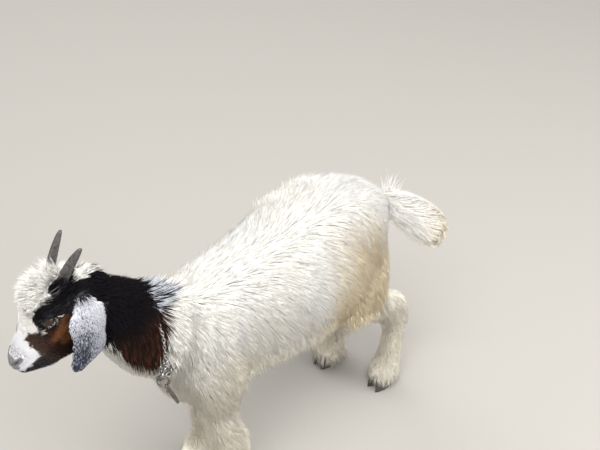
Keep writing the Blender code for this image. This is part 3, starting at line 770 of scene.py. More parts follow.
def neck_colour(points, local, chance):
    """Dark over the neck, red-brown to its ragged edges, and pale streaks at the withers."""
    x, y, z = points.T
    rough = 0.010 * (chance - 0.5) + 0.006 * soft_noise(points, 0.03, 11)
    top = rise(0.038, 0.012, np.abs(y - 0.004)) * rise(0.484, 0.506, z)
    behind = 0.0060 + 0.0040 * hill(0.455, 0.035, z) + top * 0.034
    above = (z - along(x, THROAT_EDGE)) * 0.8
    inside = np.minimum(above, behind - from_collar(points)) + rough * 1.4

    red = rise(0.060, 0.010, inside) * rise(0.520, 0.480, z)
    red = red * rise(-0.288, -0.262, x + 0.3 * (0.47 - z))
    shade = blend(BLACK, DARK_BROWN, rise(0.530, 0.470, z))
    strand = 0.5 + 0.5 * soft_noise(points * (1.0, 1.0, 0.25), 0.0045, 16)
    strand = strand + 0.5 * (scatter(points, 12) - 0.5)
    red = np.clip(red * (0.08 + 1.2 * rise(0.44, 1.00, strand)), 0, 0.85)
    shade = blend(shade, RED_BROWN, red)
    colour = blend(WHITE, shade, rise(-0.001, 0.001, inside))

    fan = rise(-0.214, -0.200, x) * rise(-0.100, -0.130, x)
    fan = fan * rise(0.040, 0.026, np.abs(y)) * rise(0.489, 0.503, z)
    fan = fan * along(x, ((-0.20, 1.3), (-0.17, 1.0), (-0.115, 0.75)))
    drawn = points * (0.25, 1.0, 1.0)
    draw = 0.5 + 0.5 * soft_noise(drawn, 0.008, 13) + 0.3 * (scatter(points, 13) - 0.5)
    streaked = (fan > draw) & (fan > 0.05)
    grey = soft_noise(drawn, 0.006, 14) + 0.7 * (scatter(points, 14) - 0.5) > -0.10
    colour[streaked & grey] = SILVER
    colour[streaked & ~grey] = BLACK * 2

    ragged = local[:, 0] + 0.005 * soft_noise(points, 0.006, 17)
    crest = (local[:, 1] < 0.0020) & (local[:, 1] > -0.0160) & (ragged > 0.001) & (z > 0.565)
    colour[crest & (scatter(points, 15) > 0.12)] = WHITE * 0.95
    return colour


def ear_colour(points, local, chance):
    """Silver at the root, speckled with slate to the dark tip."""
    place, across = ear_place(mirrored(local)[0])
    down = rise(0.005, 0.100, place)
    middle = rise(0.024, 0.006, np.abs(across))
    dark = 0.05 + 0.62 * down + 0.20 * middle * rise(0.15, 0.5, down)
    dark = dark - 0.42 * rise(-0.004, -0.022, across)
    pick = scatter(points, 21) + 0.16 * soft_noise(points, 0.004, 22) < dark
    colour = blend(EAR_GREY, SLATE * 3.4, 0.40 * down)
    colour[pick] = SLATE * (1.15 - 0.5 * down[pick, None])
    colour[place < 0.0030 + 0.005 * (chance - 0.5)] = BLACK * 1.5
    return colour


def white_colour(points, regions):
    """White on the back, creamy below, and stained on the thighs and under the tail."""
    x, y, z = points.T
    low = rise(0.46, 0.30, z) * 0.62 + 0.16 * soft_noise(points, 0.06, 31)
    colour = blend(WHITE, CREAM, np.clip(low, 0, 1))
    streak = 0.10 + 0.35 * soft_noise(points * (1.0, 1.0, 0.3), 0.005, 33)
    streak = np.clip(streak, 0, 0.30) * rise(0.30, 0.38, z) * (x > -0.1)
    colour = blend(colour, SILVER, streak)
    thigh = hill(0.165, 0.120, x) * hill(0.370, 0.150, z) * rise(0.03, 0.07, np.abs(y))
    thigh = thigh * (1.6 + 0.5 * soft_noise(points, 0.03, 32))
    thigh = thigh * np.isin(regions, (TRUNK, HIND_UPPER))
    colour = blend(colour, STAIN, np.clip(thigh, 0, 0.70))
    colour = blend(colour, CREAM, rise(0.20, 0.05, z) * 0.25)
    on_tail = regions == TAIL
    colour = blend(colour, STAIN * 1.05, rise(0.335, 0.395, x) * on_tail * 0.55)
    below_tail = rise(0.375, 0.345, z + 0.5 * (x - 0.33)) * rise(0.380, 0.355, x) * on_tail
    return blend(colour, SOILED, below_tail * 0.55)


def coat_colour(points, regions):
    """The coat's colour at each point, by the marking that it lies in."""
    chance = scatter(points, 1)
    local = to_head(points)
    colour = white_colour(points, regions)
    neck = neck_colour(points, local, chance)
    marked = np.linalg.norm(neck - WHITE, axis=1) >= 1e-6
    marked &= np.isin(regions, (NECK, TRUNK)) & (points[:, 0] < -0.10)
    colour[marked] = neck[marked]
    for region, painted in ((HEAD, head_colour), (EAR, ear_colour)):
        here = regions == region
        colour[here] = painted(points, local, chance)[here]
    return colour


def bare_skin(points, regions):
    """Where no hair grows: the nose pad, the lips' edge, the nostrils and the lids' rims.

    It also gives where the skin is lid, and where it is black: the dark lids, and the nostrils
    and the mouth's line, dark skin with painted shade in their hollows.
    """
    half, _ = mirrored(to_head(points))
    u, w, v = half.T
    on_head = regions == HEAD
    pad = rise(0.150, 0.154, u) * rise(-0.049, -0.046, v) * rise(-0.026, -0.029, v)
    pad = pad * rise(0.015, 0.0125, w)
    nostril, _ = distance_to_line(half, NOSTRIL)
    mouth, _ = distance_to_line(half, MOUTH)
    spread, outward, _ = eye_opening(half)
    rim = rise(1.45, 1.25, spread) * (outward > OUTSIDE_EYE)
    bare = np.max((pad, rise(0.0052, 0.0040, nostril), rise(0.0022, 0.0014, mouth), rim), 0)
    lid = rise(1.6, 1.3, spread) * (outward > OUTSIDE_EYE) * on_head
    # The nostrils and the mouth's line turn black: dark skin, with painted shade in these hollows.
    deep = np.maximum(rise(0.0030, 0.0016, nostril), rise(0.0020, 0.0010, mouth)) * on_head
    return bare * on_head, lid, np.maximum(deep, lid)


def skin_colour(points, regions):
    """The coat's colour, deeper, with dark bare skin at the nose, lips and lids, and painted shade
    in the nostrils and along the mouth's line.
    """
    bare, lid, deep = bare_skin(points, regions)
    colour = coat_colour(points, regions) * 0.90
    colour = blend(colour, NOSE_GREY, bare * (1 - lid))
    # Black on the lids, and on the nostrils and the mouth's line as dark skin with painted shade.
    return blend(colour, BLACK, deep), bare


def store_colour(obj, colours, share):
    """Keeps a colour for each point, with a share in its alpha."""
    attribute = obj.data.color_attributes.new("Coat", "FLOAT_COLOR", "POINT")
    values = np.ones((len(colours), 4), np.float32)
    values[:, :3] = colours
    values[:, 3] = share
    attribute.data.foreach_set("color", values.ravel())


# Materials


def new_material(name):
    material = bpy.data.materials.new(name)
    material.use_nodes = True
    tree = material.node_tree
    return material, tree, tree.nodes["Principled BSDF"]


def set_inputs(tree, node, inputs):
    """Sets each named input of a node to a value, or links it to the output given."""
    for name, value in inputs.items():
        if isinstance(value, bpy.types.NodeSocket):
            tree.links.new(value, node.inputs[name])
        else:
            node.inputs[name].default_value = value


def add_node(tree, kind, inputs=None, **settings):
    node = tree.nodes.new("ShaderNode" + kind)
    for name, value in settings.items():
        setattr(node, name, value)
    set_inputs(tree, node, inputs or {})
    return node


def noise_at(tree, scale, detail):
    """A noise that is fixed to the object."""
    place = add_node(tree, "TexCoord").outputs["Object"]
    inputs = {"Scale": scale, "Detail": detail, "Vector": place}
    return add_node(tree, "TexNoise", inputs).outputs["Fac"]


def mapped(tree, value, low, high):
    """A value from 0 to 1, turned into one from low to high."""
    inputs = {"To Min": low, "To Max": high, "Value": value}
    return add_node(tree, "MapRange", inputs).outputs["Result"]


def bumps(tree, height, strength, distance):
    inputs = {"Strength": strength, "Distance": distance, "Height": height}
    return add_node(tree, "Bump", inputs).outputs["Normal"]


def ramp(tree, value, *stops):
    """A colour for a value, by its (place, colour) stops, with the two ends first."""
    node = add_node(tree, "ValToRGB", {"Fac": value})
    elements = node.color_ramp.elements
    for i, (place, colour) in enumerate(stops):
        stop = elements[i] if i < 2 else elements.new(place)
        stop.position = place
        stop.color = (*colour, 1.0)
    return node.outputs["Color"]


def coat_material():
    """Hair: its own colour, a little uneven, with a soft sheen."""
    material, tree, shader = new_material("coat_hair")
    colour = add_node(tree, "Attribute", attribute_name="Coat").outputs["Color"]
    uneven = mapped(tree, noise_at(tree, 260.0, 2.0), 0.80, 1.12)
    inputs = {"Factor": 1.0, "A": colour, "B": uneven}
    mix = add_node(tree, "Mix", inputs, data_type="RGBA", blend_type="MULTIPLY")
    set_inputs(tree, shader, {
        "Base Color": mix.outputs["Result"], "Roughness": 0.62, "Specular IOR Level": 0.035,
        "Sheen Weight": 0.01, "Sheen Roughness": 0.45,
    })
    return material


def skin_material():
    """Skin with short hair on it, smoother and wetter where it is bare."""
    material, tree, shader = new_material("goat_skin")
    colour = add_node(tree, "Attribute", attribute_name="Coat")
    set_inputs(tree, shader, {
        "Base Color": colour.outputs["Color"],
        "Roughness": mapped(tree, colour.outputs["Alpha"], 0.75, 0.34),
        "Normal": bumps(tree, noise_at(tree, 900.0, 3.0), 0.5, 0.0006),
    })
    return material


def keratin_material(name, shades, scale):
    """Horn and hoof: dark and light in fine streaks, with a fine grain."""
    material, tree, shader = new_material(name)
    dark, light = shades
    noise = noise_at(tree, scale, 5.0)
    set_inputs(tree, shader, {
        "Base Color": ramp(tree, noise, (0.30, dark), (0.70, light)),
        "Normal": bumps(tree, noise, 0.6, 0.0005), "Roughness": 0.50,
    })
    return material


def steel_material(name, bright):
    """Worn steel: dark in its pits, and as bright as asked where it is rubbed."""
    material, tree, shader = new_material(name)
    noise = noise_at(tree, 420.0, 4.0)
    pitted = (0.10 * bright, 0.09 * bright, 0.08 * bright)
    rubbed = (0.60 * bright, 0.59 * bright, 0.57 * bright)
    set_inputs(tree, shader, {
        "Base Color": ramp(tree, noise, (0.35, pitted), (0.58, rubbed)),
        "Roughness": mapped(tree, noise, 0.55, 0.26), "Metallic": 1.0,
    })
    return material


def eye_material():
    """A brown iris, darker at its rim, with a level slot for a pupil, under a wet front."""
    material, tree, shader = new_material("wet_eye")
    place = add_node(tree, "UVMap", uv_map="Gaze").outputs["UV"]
    split = add_node(tree, "SeparateXYZ", {"Vector": place}).outputs

    def worked(operation, one, two):
        return add_node(tree, "Math", {0: one, 1: two}, operation=operation).outputs[0]

    def squared(axis, size):
        """The square of how far out a point is along an axis, as a share of a size."""
        share = worked("DIVIDE", worked("SUBTRACT", split[axis], 0.5), size)
        return worked("POWER", worked("ABSOLUTE", share, 0.0), 2.0)

    def oval(wide, high):
        return worked("ADD", squared("X", wide), squared("Y", high))

    middle = (0.0, (0.022, 0.010, 0.004))
    edge = (0.95, (0.006, 0.005, 0.005))
    rim = (0.62, (0.028, 0.013, 0.006))
    iris = ramp(tree, oval(0.34, 0.34), middle, edge, rim)
    limits = {"From Min": 0.8, "From Max": 1.25, "Value": oval(0.185, 0.062)}
    outside = add_node(tree, "MapRange", limits).outputs["Result"]
    inputs = {"A": (0.002, 0.002, 0.003, 1.0), "B": iris, "Factor": outside}
    mix = add_node(tree, "Mix", inputs, data_type="RGBA")
    set_inputs(tree, shader, {
        "Base Color": mix.outputs["Result"], "Roughness": 0.10, "Specular IOR Level": 0.40,
        "Coat Weight": 0.0, "Coat Roughness": 0.02,
    })
    return material


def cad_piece(obj, material, slot, *nodes):
    """Gives a finished piece its material, hangs it from the root and hides the solids that it
    stands for.
    """
    obj.data.materials.clear()
    obj.data.materials.append(material)
    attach(obj, "root")
    if nodes:
        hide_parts(*nodes)


# The hair


def tail_line():
    """The root and the tip of the tail, in the middle of the solid."""
    points = solid_points("tail")
    x = points[:, 0]
    return points[x < x.min() + 0.02].mean(0), points[x > x.max() - 0.02].mean(0)


TAIL_ROOT, TAIL_TIP = tail_line()


def lie_of_trunk(points, up):
    x, y, z = points.T
    fall = np.radians(along(x, TRUNK_FALL)) * (0.10 + 0.90 * rise(1.0, 0.66, up))
    withers = hill(-0.165, 0.055, x) * rise(0.46, 0.49, z)
    parting = 0.55 * withers * np.sign(y) * rise(0.0, 0.03, np.abs(y))
    return rows(np.cos(fall), parting, -np.sin(fall))


def lie_of_neck(normals, up):
    on_top = rise(0.45, 0.9, up)
    flow = rows(0.26 + 0.60 * on_top, 0.0, -0.96 + 0.50 * on_top)
    return blend(flow, np.array((0.26, 0.0, -0.96)), rise(0.0, -0.6, up + 0.4 * normals[:, 0]))


def lie_of_tail(points):
    run = TAIL_TIP - TAIL_ROOT
    share = np.clip((points - TAIL_ROOT) @ unit(run) / np.linalg.norm(run), 0, 1)
    middle = TAIL_ROOT + share[:, None] * run
    return unit(run) + 9.0 * (points - middle)


def lie_of_face(half):
    """Back from the nose, down over the throat and up above the eye, in the head's frame."""
    v = half[:, 2]
    flow = rows(-1.0, 0.20, -0.55 * rise(0.005, -0.03, v))
    flow = blend(flow, np.array((-0.9, 0.1, -0.30)), rise(-0.085, -0.10, v))
    near_eye = rise(3.2, 1.6, eye_opening(half)[0]) * (v > 0.002)
    return blend(flow, np.array((-0.35, 0.35, 0.75)), near_eye)


def lie_of_coat(points, normals, kind):
    """Which way a region's hair points at each place, before it is laid on the skin."""
    up = normals[:, 2]
    if kind == TRUNK:
        return unit(lie_of_trunk(points, up))
    if kind == NECK:
        return unit(lie_of_neck(normals, up))
    if kind == TAIL:
        return unit(lie_of_tail(points))
    if kind in LEG_LEAN:
        return unit(rows(LEG_LEAN[kind], 0.10 * normals[:, 1], -1.0))
    half, side = mirrored(to_head(points))
    if kind == HEAD:
        flow = lie_of_face(half)
    else:
        flow = rows(0.62 + 0.25 * rise(-0.075, -0.095, half[:, 2]), 0.20, -0.78)
    flow[:, 1] *= side
    return unit(flow @ HEAD_AXES)


def face_length(half):
    """What makes the face's hair longer or shorter than usual, in millimetres."""
    u, w, v = half.T
    parting = 6.0 * rise(0.012, 0.002, w) * rise(0.020, 0.004, u)
    return (
        -3.4 * rise(0.105, 0.130, u),
        -2.6 * rise(3.0, 1.6, eye_opening(half)[0]),
        6.0 * rise(-0.080, -0.098, v),
        7.0 * rise(0.035, 0.0, u) * rise(-0.030, -0.008, u) - parting,
        3.0 * forelock_share(half),
        6.0 * rise(0.022, 0.012, from_horn(half)) * rise(-0.01, 0.0, v),
    )


def hair_length(points, normals, kind):
    """Each tuft's length in metres."""
    x, _, z = points.T
    half, _ = mirrored(to_head(points))
    u = half[:, 0]
    extra = ()
    if kind == TRUNK:
        extra = (
            8.0 * rise(0.42, 0.30, z) - 5.0 * rise(0.6, 0.95, normals[:, 2]),
            8.0 * hill(-0.16, 0.05, x) * rise(0.47, 0.49, z),
            8.0 * hill(0.10, 0.10, x) * rise(0.34, 0.29, z),
        )
    elif kind == NECK:
        behind_poll = 13.0 * rise(-0.030, -0.005, u) * rise(0.55, 0.57, z)
        extra = (5.0 * rise(0.45, 0.41, z) - behind_poll,)
    elif kind == HIND_UPPER:
        extra = (10.0 * hill(0.175, 0.07, x) * hill(0.31, 0.06, z),)
    elif kind in (FORE_LOWER, HIND_LOWER):
        extra = (5.0 * rise(0.055, 0.035, z),)
    elif kind == HEAD:
        extra = face_length(half)
    elif kind == EAR:
        extra = (6.0 * rise(0.012, 0.002, ear_place(half)[0]),)
    length = np.full(len(points), HAIR[kind][1])
    for more in extra:
        length += more
    return length * (0.78 + 0.44 * scatter(points, 41)) * MM


def standing(points, normals, kind):
    """How far the tips stand off the coat, in metres."""
    x, _, z = points.T
    wild = scatter(points, 42)
    stand = np.zeros(len(points))
    if kind == TAIL:
        stand += 0.005 * scatter(points, 54)
        stand += 0.009 * rise(0.365, 0.395, x) * scatter(points, 55)
    if kind in (TRUNK, NECK):
        stand += rise(0.55, 0.85, normals[:, 2]) * 0.006 * (wild > 0.86)
    if kind in (TRUNK, NECK, HIND_UPPER, FORE_UPPER):
        stand += 0.002 * (wild > 0.75)
    if kind == FORE_UPPER:
        stand += 0.004 * (wild > 0.6)
    if kind == HEAD:
        stand += 0.010 * rise(0.018, 0.010, from_horn(mirrored(to_head(points))[0]))
    stand += 0.010 * (hill(0.285, 0.04, x) * rise(0.44, 0.48, z)) * (wild > 0.35)
    stand += 0.014 * (hill(-0.165, 0.060, x) * rise(0.482, 0.500, z)) * (0.3 + 0.7 * wild)
    if kind in (HIND_LOWER, FORE_LOWER):
        stand += 0.005 * wild * wild
    return stand


class Surface:
    """The skin as arrays, with a search tree, for hair to grow from."""

    def __init__(self, obj):
        mesh = obj.data
        self.points = points_of(obj)
        self.normals = normals_of(obj)
        self.faces = read_all(mesh.polygons, "vertices", 3, int)
        self.uv = read_all(mesh.uv_layers["OFBake"].data, "uv", 2).reshape(-1, 3, 2)
        corners = self.points[self.faces]
        sides = corners[:, 1] - corners[:, 0], corners[:, 2] - corners[:, 0]
        self.area = np.linalg.norm(np.cross(*sides), axis=1) / 2
        self.kinds = regions_at(corners.mean(1))
        self.tree = BVHTree.FromPolygons(self.points.tolist(), self.faces.tolist())

    def nearest(self, points):
        """The nearest place on the skin to each point, and the skin's smooth normal there."""
        found = [self.tree.find_nearest(p) for p in points.tolist()]
        places = np.array([f[0] for f in found])
        index = np.array([f[2] for f in found])
        return places, unit(self.normals[self.faces[index]].mean(1))

    def sample(self, kind, spacing, rng):
        """Places on one region of the skin, about the given distance apart."""
        area = np.where(self.kinds == kind, self.area, 0.0)
        count = int(area.sum() / spacing**2 * 4)
        chosen = rng.choice(len(area), count, p=area / area.sum())
        a = rng.random(count)
        b = rng.random(count)
        over = a + b > 1
        a[over] = 1 - a[over]
        b[over] = 1 - b[over]
        weights = np.stack((1 - a - b, a, b), 1)[:, :, None]
        points = (self.points[self.faces[chosen]] * weights).sum(1)
        cells = np.floor(points / spacing).astype(int)
        _, first = np.unique(cells, axis=0, return_index=True)
        first.sort()
        chosen = chosen[first]
        weights = weights[first]
        normals = unit((self.normals[self.faces[chosen]] * weights).sum(1))
        return points[first], normals, (self.uv[chosen] * weights).sum(1)


def hems(roots, normals, kind, length):
    """Which tufts hang free over the hooves and below the belly, and how each one hangs.

    It also gives each tuft's share in the fringe of the thigh, and its new length.
    """
    x, y, z = roots.T
    ragged = scatter(roots, 53)
    fringe = hill(0.17, 0.085, x) * hill(0.29, 0.055, z) * (kind in (HIND_UPPER, TRUNK))
    skirt = hill(0.0, 0.14, x) * hill(-0.45, 0.35, normals[:, 2]) * (kind == TRUNK)
    length = length * (1 - 0.45 * ragged * (fringe > 0.3))
    hanging = (z < CUFF_HEIGHT) | ((fringe > 0.45) & (normals[:, 2] < -0.1) & (ragged < 0.7))
    hanging |= (skirt > 0.12) & (scatter(roots, 50) < 0.45)
    far_hind = (kind == HIND_LOWER) & (y > 0) & (z < CUFF_HEIGHT)
    length = length * (1 + 0.45 * far_hind)
    outwards = normals * (1.0, 1.0, 0.0) * 0.42 + np.array((0.12, 0.0, -1.0))
    way = unit(outwards + 0.25 * (scatter(roots, 49) - 0.5)[:, None])
    return hanging, way * (length * (1 - 0.35 * (skirt > 0)))[:, None], fringe, length


def comb(surface, roots, normals, kind, segments):
    """The middle line of each tuft: places and normals at its root and after each segment."""
    length = hair_length(roots, normals, kind)
    length = length * (1 - 0.6 * rise(0.016, 0.010, from_metal(roots, clump=True)))
    hanging, hem, fringe, length = hems(roots, normals, kind, length)
    depth = coat_depth(roots, np.full(len(roots), kind))
    stand = standing(roots, normals, kind)
    droop = rise(0.15, -0.5, normals[:, 2]) * (length > 0.012) * 0.35
    sway = soft_noise(roots, 0.050, 51) * 0.18 + soft_noise(roots, 0.015, 52) * 0.09
    sway = (sway + (scatter(roots, 43) - 0.5) * 0.14) * (0.5 if kind == TAIL else 1.0)
    free = np.maximum(LOOSE.get(kind, USUAL_LOOSE), np.clip(1.6 * fringe, 0, 0.95))
    free = np.where(roots[:, 2] < 0.045, 0.85, free)
    if kind == TAIL:
        free[:] = 0.72
    lines = [roots - normals * ROOT_SINK]
    ups = [normals]
    at = roots
    hug = roots
    up = normals
    step = (length / segments)[:, None]
    last = None
    for k in range(1, segments + 1):
        t = k / segments
        way = lie_of_coat(hug, up, kind)
        way = way + np.cross(up, way) * sway[:, None]
        way = unit(way - up * (way * up).sum(1, keepdims=True))
        last = way if last is None else last
        way = unit(0.65 * way + 0.35 * last)
        last = way
        hug, up = surface.nearest(hug + way * step)
        under_chain = rise(0.020, 0.011, from_metal(hug)) * rise(0.484, 0.468, hug[:, 2])
        under_chain = under_chain * rise(0.032, 0.046, np.abs(hug[:, 1]))
        under_clump = rise(0.024, 0.014, from_metal(hug, clump=True))
        pressed = 1 - np.maximum(0.88 * under_chain, 0.92 * under_clump)
        height = (depth * (1 - (1 - t) ** 1.5) + stand * t * t) * pressed
        target = hug + up * height[:, None]
        target[:, 2] -= droop * length * t * t
        target[hanging] = hem[hanging] * t + roots[hanging]
        drift = (free * rise(0.35, 1.0, t) * pressed)[:, None]
        ahead = unit(target - at)
        flight = ahead * step
        if k > 1:
            flight = unit(at - lines[-2] + 0.3 * ahead * step) * step
        at = target * (1 - drift) + (at + flight) * drift
        lines.append(at)
        ups.append(up)
    return np.stack(lines, 1), np.stack(ups, 1)


def raise_forelock(roots, normals):
    """The forelock's tufts, which stand up from the forehead and bend outwards."""
    local = to_head(roots)
    u, w, v = local.T
    length = HAIR[FORELOCK][1] * MM * (0.52 + 0.95 * scatter(roots, 48) ** 2)
    length = length * (1 - 0.55 * rise(0.009, 0.022, np.abs(w)))
    length = length * (1 + 0.30 * rise(0.060, 0.030, u) - 0.50 * rise(0.058, 0.080, u))
    out = unit(rows(u - 0.030, w, v + 0.030)) @ HEAD_AXES
    wander = scattered_ways(roots, 61, 62, 63)
    rooted = unit(normals + 0.75 * out + 0.35 * wander)
    bent = unit(out + 0.15 * normals + 0.40 * wander + np.array((-0.04, 0.0, -0.08)))
    at = roots - normals * ROOT_SINK
    lines = [at]
    for k in range(1, 4):
        t = (k - 0.5) / 3
        at = at + unit(rooted * (1 - t) + bent * t) * (length / 3)[:, None]
        lines.append(at)
    return np.stack(lines, 1), np.repeat(normals[:, None], 4, axis=1)


def gather_locks(lines, roots, spacing, pull):
    """Draws the tips of neighbouring tufts together into locks."""
    cells = np.floor(roots / spacing).astype(int)
    _, leaders = np.unique(cells, axis=0, return_index=True)
    tree = search_tree(roots[leaders])
    own = np.array([leaders[tree.find(root)[1]] for root in roots])
    count = lines.shape[1]
    share = pull * (np.arange(count) / (count - 1)) ** 1.1
    share = share[None, :, None] * (0.6 + 0.4 * scatter(roots, 44))[:, None, None]
    return lines * (1 - share) + lines[own] * share, own


def tuft_faces(number, segments):
    """The corners of all faces of a number of spikes, and how many corners each face has."""
    size = segments * 3 + 1
    last = size - 4
    sides = [(a, a - a % 3 + (a + 1) % 3) for a in range(last)]
    quads = [(a, b, b + 3, a + 3) for a, b in sides]
    tris = [(0, 2, 1)] + [(last + j, last + (j + 1) % 3, size - 1) for j in range(3)]
    starts = (np.arange(number) * size)[:, None]
    one = np.array([corner for face in quads + tris for corner in face])
    sizes = np.tile([len(face) for face in quads + tris], number)
    return (one[None] + starts).ravel(), sizes


def tuft_mesh(name, lines, ups, widths, colours, uvs):
    """One mesh of closed, flat, three-sided spikes, one along each line."""
    number, count, _ = lines.shape
    segments = count - 1
    ways = np.gradient(lines, axis=1)
    across = unit(np.cross(ways, ups))
    above = unit(np.cross(across, ways))
    half = (widths[:, None] * np.array(TAPER[segments])[None, :])[:, :, None] / 2
    ring = lines[:, :segments]
    side = across[:, :segments] * half
    lift = above[:, :segments] * half * 0.6
    corners = np.stack((ring - side - lift * 0.3, ring + side - lift * 0.3, ring + lift), 2)
    points = np.concatenate((corners.reshape(number, segments * 3, 3), lines[:, -1:]), 1)
    loops, sizes = tuft_faces(number, segments)
    mesh = bpy.data.meshes.new(name)
    mesh.vertices.add(points.shape[0] * points.shape[1])
    mesh.vertices.foreach_set("co", points.ravel())
    mesh.loops.add(len(loops))
    mesh.loops.foreach_set("vertex_index", loops)
    mesh.polygons.add(len(sizes))
    mesh.polygons.foreach_set("loop_start", np.concatenate(((0,), np.cumsum(sizes)[:-1])))
    mesh.polygons.foreach_set("loop_total", sizes)
    mesh.update(calc_edges=True)
    mesh.validate()
    patch = []
    for k in range(segments):
        patch += [(0.0, k / segments), (1.0, k / segments), (0.5, (k + 0.3) / segments)]
    patch = (np.array(patch + [(0.5, 1.0)]) - 0.5) * UV_PATCH
    places = uvs[:, None] + patch[None]
    layer = mesh.uv_layers.new(name="OFBake")
    layer.data.foreach_set("uv", places.reshape(-1, 2)[loops].ravel())
    # Painted shade: each tuft is darker at its root and a little lighter at its tip, where the coat
    # shades itself.
    painted_root_shade = np.append(np.repeat(np.linspace(0.88, 1.0, segments), 3), 1.02)
    shades = np.clip(colours, 0, BRIGHTEST)[:, None, :] * painted_root_shade[None, :, None]
    obj = new_object(name, mesh)
    store_colour(obj, shades.reshape(-1, 3), 0.0)
    mesh.shade_smooth()
    return obj


def chosen_roots(surface, kind, rng):
    """Where a region's tufts grow: their places, normals and places in the skin's UV map."""
    source = HEAD if kind == FORELOCK else kind
    roots, normals, uvs = surface.sample(source, HAIR[kind][0] * 1.16 * MM, rng)
    if source == HEAD:
        regions = np.full(len(roots), HEAD)
        local = to_head(roots)
        bald = np.where(local[:, 1] > 0, 0.0065, 0.0050)
        fluffy = forelock_share(local) > 0.45
        fluffy &= from_horn(mirrored(local)[0], BALD_HORN_FOOT) >= bald
        fluffy &= coat_colour(roots, regions).sum(1) > 1.2
        keep = fluffy if kind == FORELOCK else ~fluffy & (bare_skin(roots, regions)[0] < 0.5)
    else:
        keep = from_metal(roots, clump=True) > 0.006
    if kind == TRUNK:
        keep &= (normals[:, 2] > -0.6) | (rng.random(len(roots)) < 0.62)
    return roots[keep], normals[keep], uvs[keep]


def grow_coat(surface, rng):
    """Every tuft of the coat, as one mesh for each part of it."""
    material = coat_material()
    for kind, (_, _, width, segments, lock, pull) in HAIR.items():
        on_head = kind in (HEAD, FORELOCK)
        roots, normals, uvs = chosen_roots(surface, kind, rng)
        colours = coat_colour(roots, np.full(len(roots), HEAD if on_head else kind))
        dim = 0.12 * (scatter(roots, 55) > 0.86) * (colours.sum(1) > 1.2)
        colours = colours * (0.90 + 0.17 * scatter(roots, 45) - dim)[:, None]
        if kind == FORELOCK:
            lines, ups = raise_forelock(roots, normals)
        else:
            lines, ups = comb(surface, roots, normals, kind, segments)
        lines, own = gather_locks(lines, roots, lock, pull)
        lines[:, :, 2] = np.maximum(lines[:, :, 2], LOWEST_HAIR)
        colours = colours * (0.94 + 0.09 * scatter(roots[own], 46))[:, None]
        widths = width * (0.75 + 0.5 * scatter(roots, 47)) * MM
        if on_head:
            widths = widths * (1 - 0.35 * rise(0.11, 0.13, to_head(roots)[:, 0]))
        for name, part in coat_parts(kind, roots, normals):
            piece = tuft_mesh(name, lines[part], ups[part], widths[part], colours[part], uvs[part])
            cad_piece(piece, material, COAT_SLOTS.get(kind, "white_coat"))


def make_stray_hairs(surface, rng):
    """Long hairs that stand off the back, the withers and the root of the tail."""
    samples = [surface.sample(kind, 2.0 * MM, rng) for kind in (TRUNK, TAIL)]
    roots, normals, uvs = (np.concatenate(pair) for pair in zip(*samples))
    x, y, z = roots.T
    ridge = rise(0.35, 0.8, normals[:, 2])
    wind = ridge * np.maximum(hill(0.102, 0.026, x), hill(0.155, 0.026, x)) * rise(0.0, 0.025, y)
    share = 0.09 * ridge * (x < 0.28) + 0.9 * wind
    share = share + 0.9 * hill(0.328, 0.018, x) * rise(0.405, 0.425, z) * hill(-0.01, 0.030, y)
    keep = rng.random(len(roots)) < share
    roots, normals, uvs, wind = roots[keep], normals[keep], uvs[keep], wind[keep]
    at_tail = roots[:, 0] > 0.29
    on_trunk = np.full(len(roots), TRUNK)
    depth = np.where(at_tail, 0.014, coat_depth(roots, on_trunk))
    beyond = 0.007 + 0.009 * (wind > 0.3) + 0.026 * at_tail
    length = depth * 1.1 + beyond * (0.5 + 0.9 * scatter(roots, 81) ** 2)
    wander = scattered_ways(roots, 82, 83, 84)
    back = np.where(at_tail, 0.1, 0.55)[:, None] * np.array((1.0, 0.0, 0.0))
    way = unit(normals + back + 0.8 * wander)
    fall = np.where(at_tail, 0.15, 0.5)[:, None] * np.array((1.0, 0.0, -0.2))
    bend = unit(way + fall + 0.4 * wander)
    at = roots - normals * ROOT_SINK
    lines = [at]
    for k in range(3):
        at = at + unit(way * (2 - k) + bend * k) * (length / 3)[:, None]
        lines.append(at)
    lines, _ = gather_locks(np.stack(lines, 1), roots, spacing=0.007, pull=0.6)
    ups = np.repeat(unit(np.cross(normals, wander))[:, None], 4, axis=1)
    colours = coat_colour(roots, on_trunk) * (0.95 + 0.08 * scatter(roots, 85))[:, None]
    widths = 0.75 * (0.75 + 0.5 * scatter(roots, 86)) * MM
    piece = tuft_mesh("stray_hairs", lines, ups, widths, colours, uvs)
    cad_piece(piece, bpy.data.materials["coat_hair"], "white_coat")


def coat_parts(kind, roots, normals):
    """The names of the pieces that a region's coat is divided into, and which tufts each has."""
    if kind != TRUNK:
        return [(COAT_NAMES[kind], np.ones(len(roots), bool))]
    x, y, _ = roots.T
    top = normals[:, 2] > 0.62
    under = normals[:, 2] < -0.35
    parts = [("coat_back", top), ("coat_belly", under)]
    rear = x > 0.13
    front = x < -0.03
    for name, here in (("shoulder", front), ("flank", ~front & ~rear), ("rump", rear)):
        here = here & ~top & ~under
        parts += [(f"coat_left_{name}", here & (y < 0)), (f"coat_right_{name}", here & ~(y < 0))]
    return parts


# Eyes, horns, hooves and collar


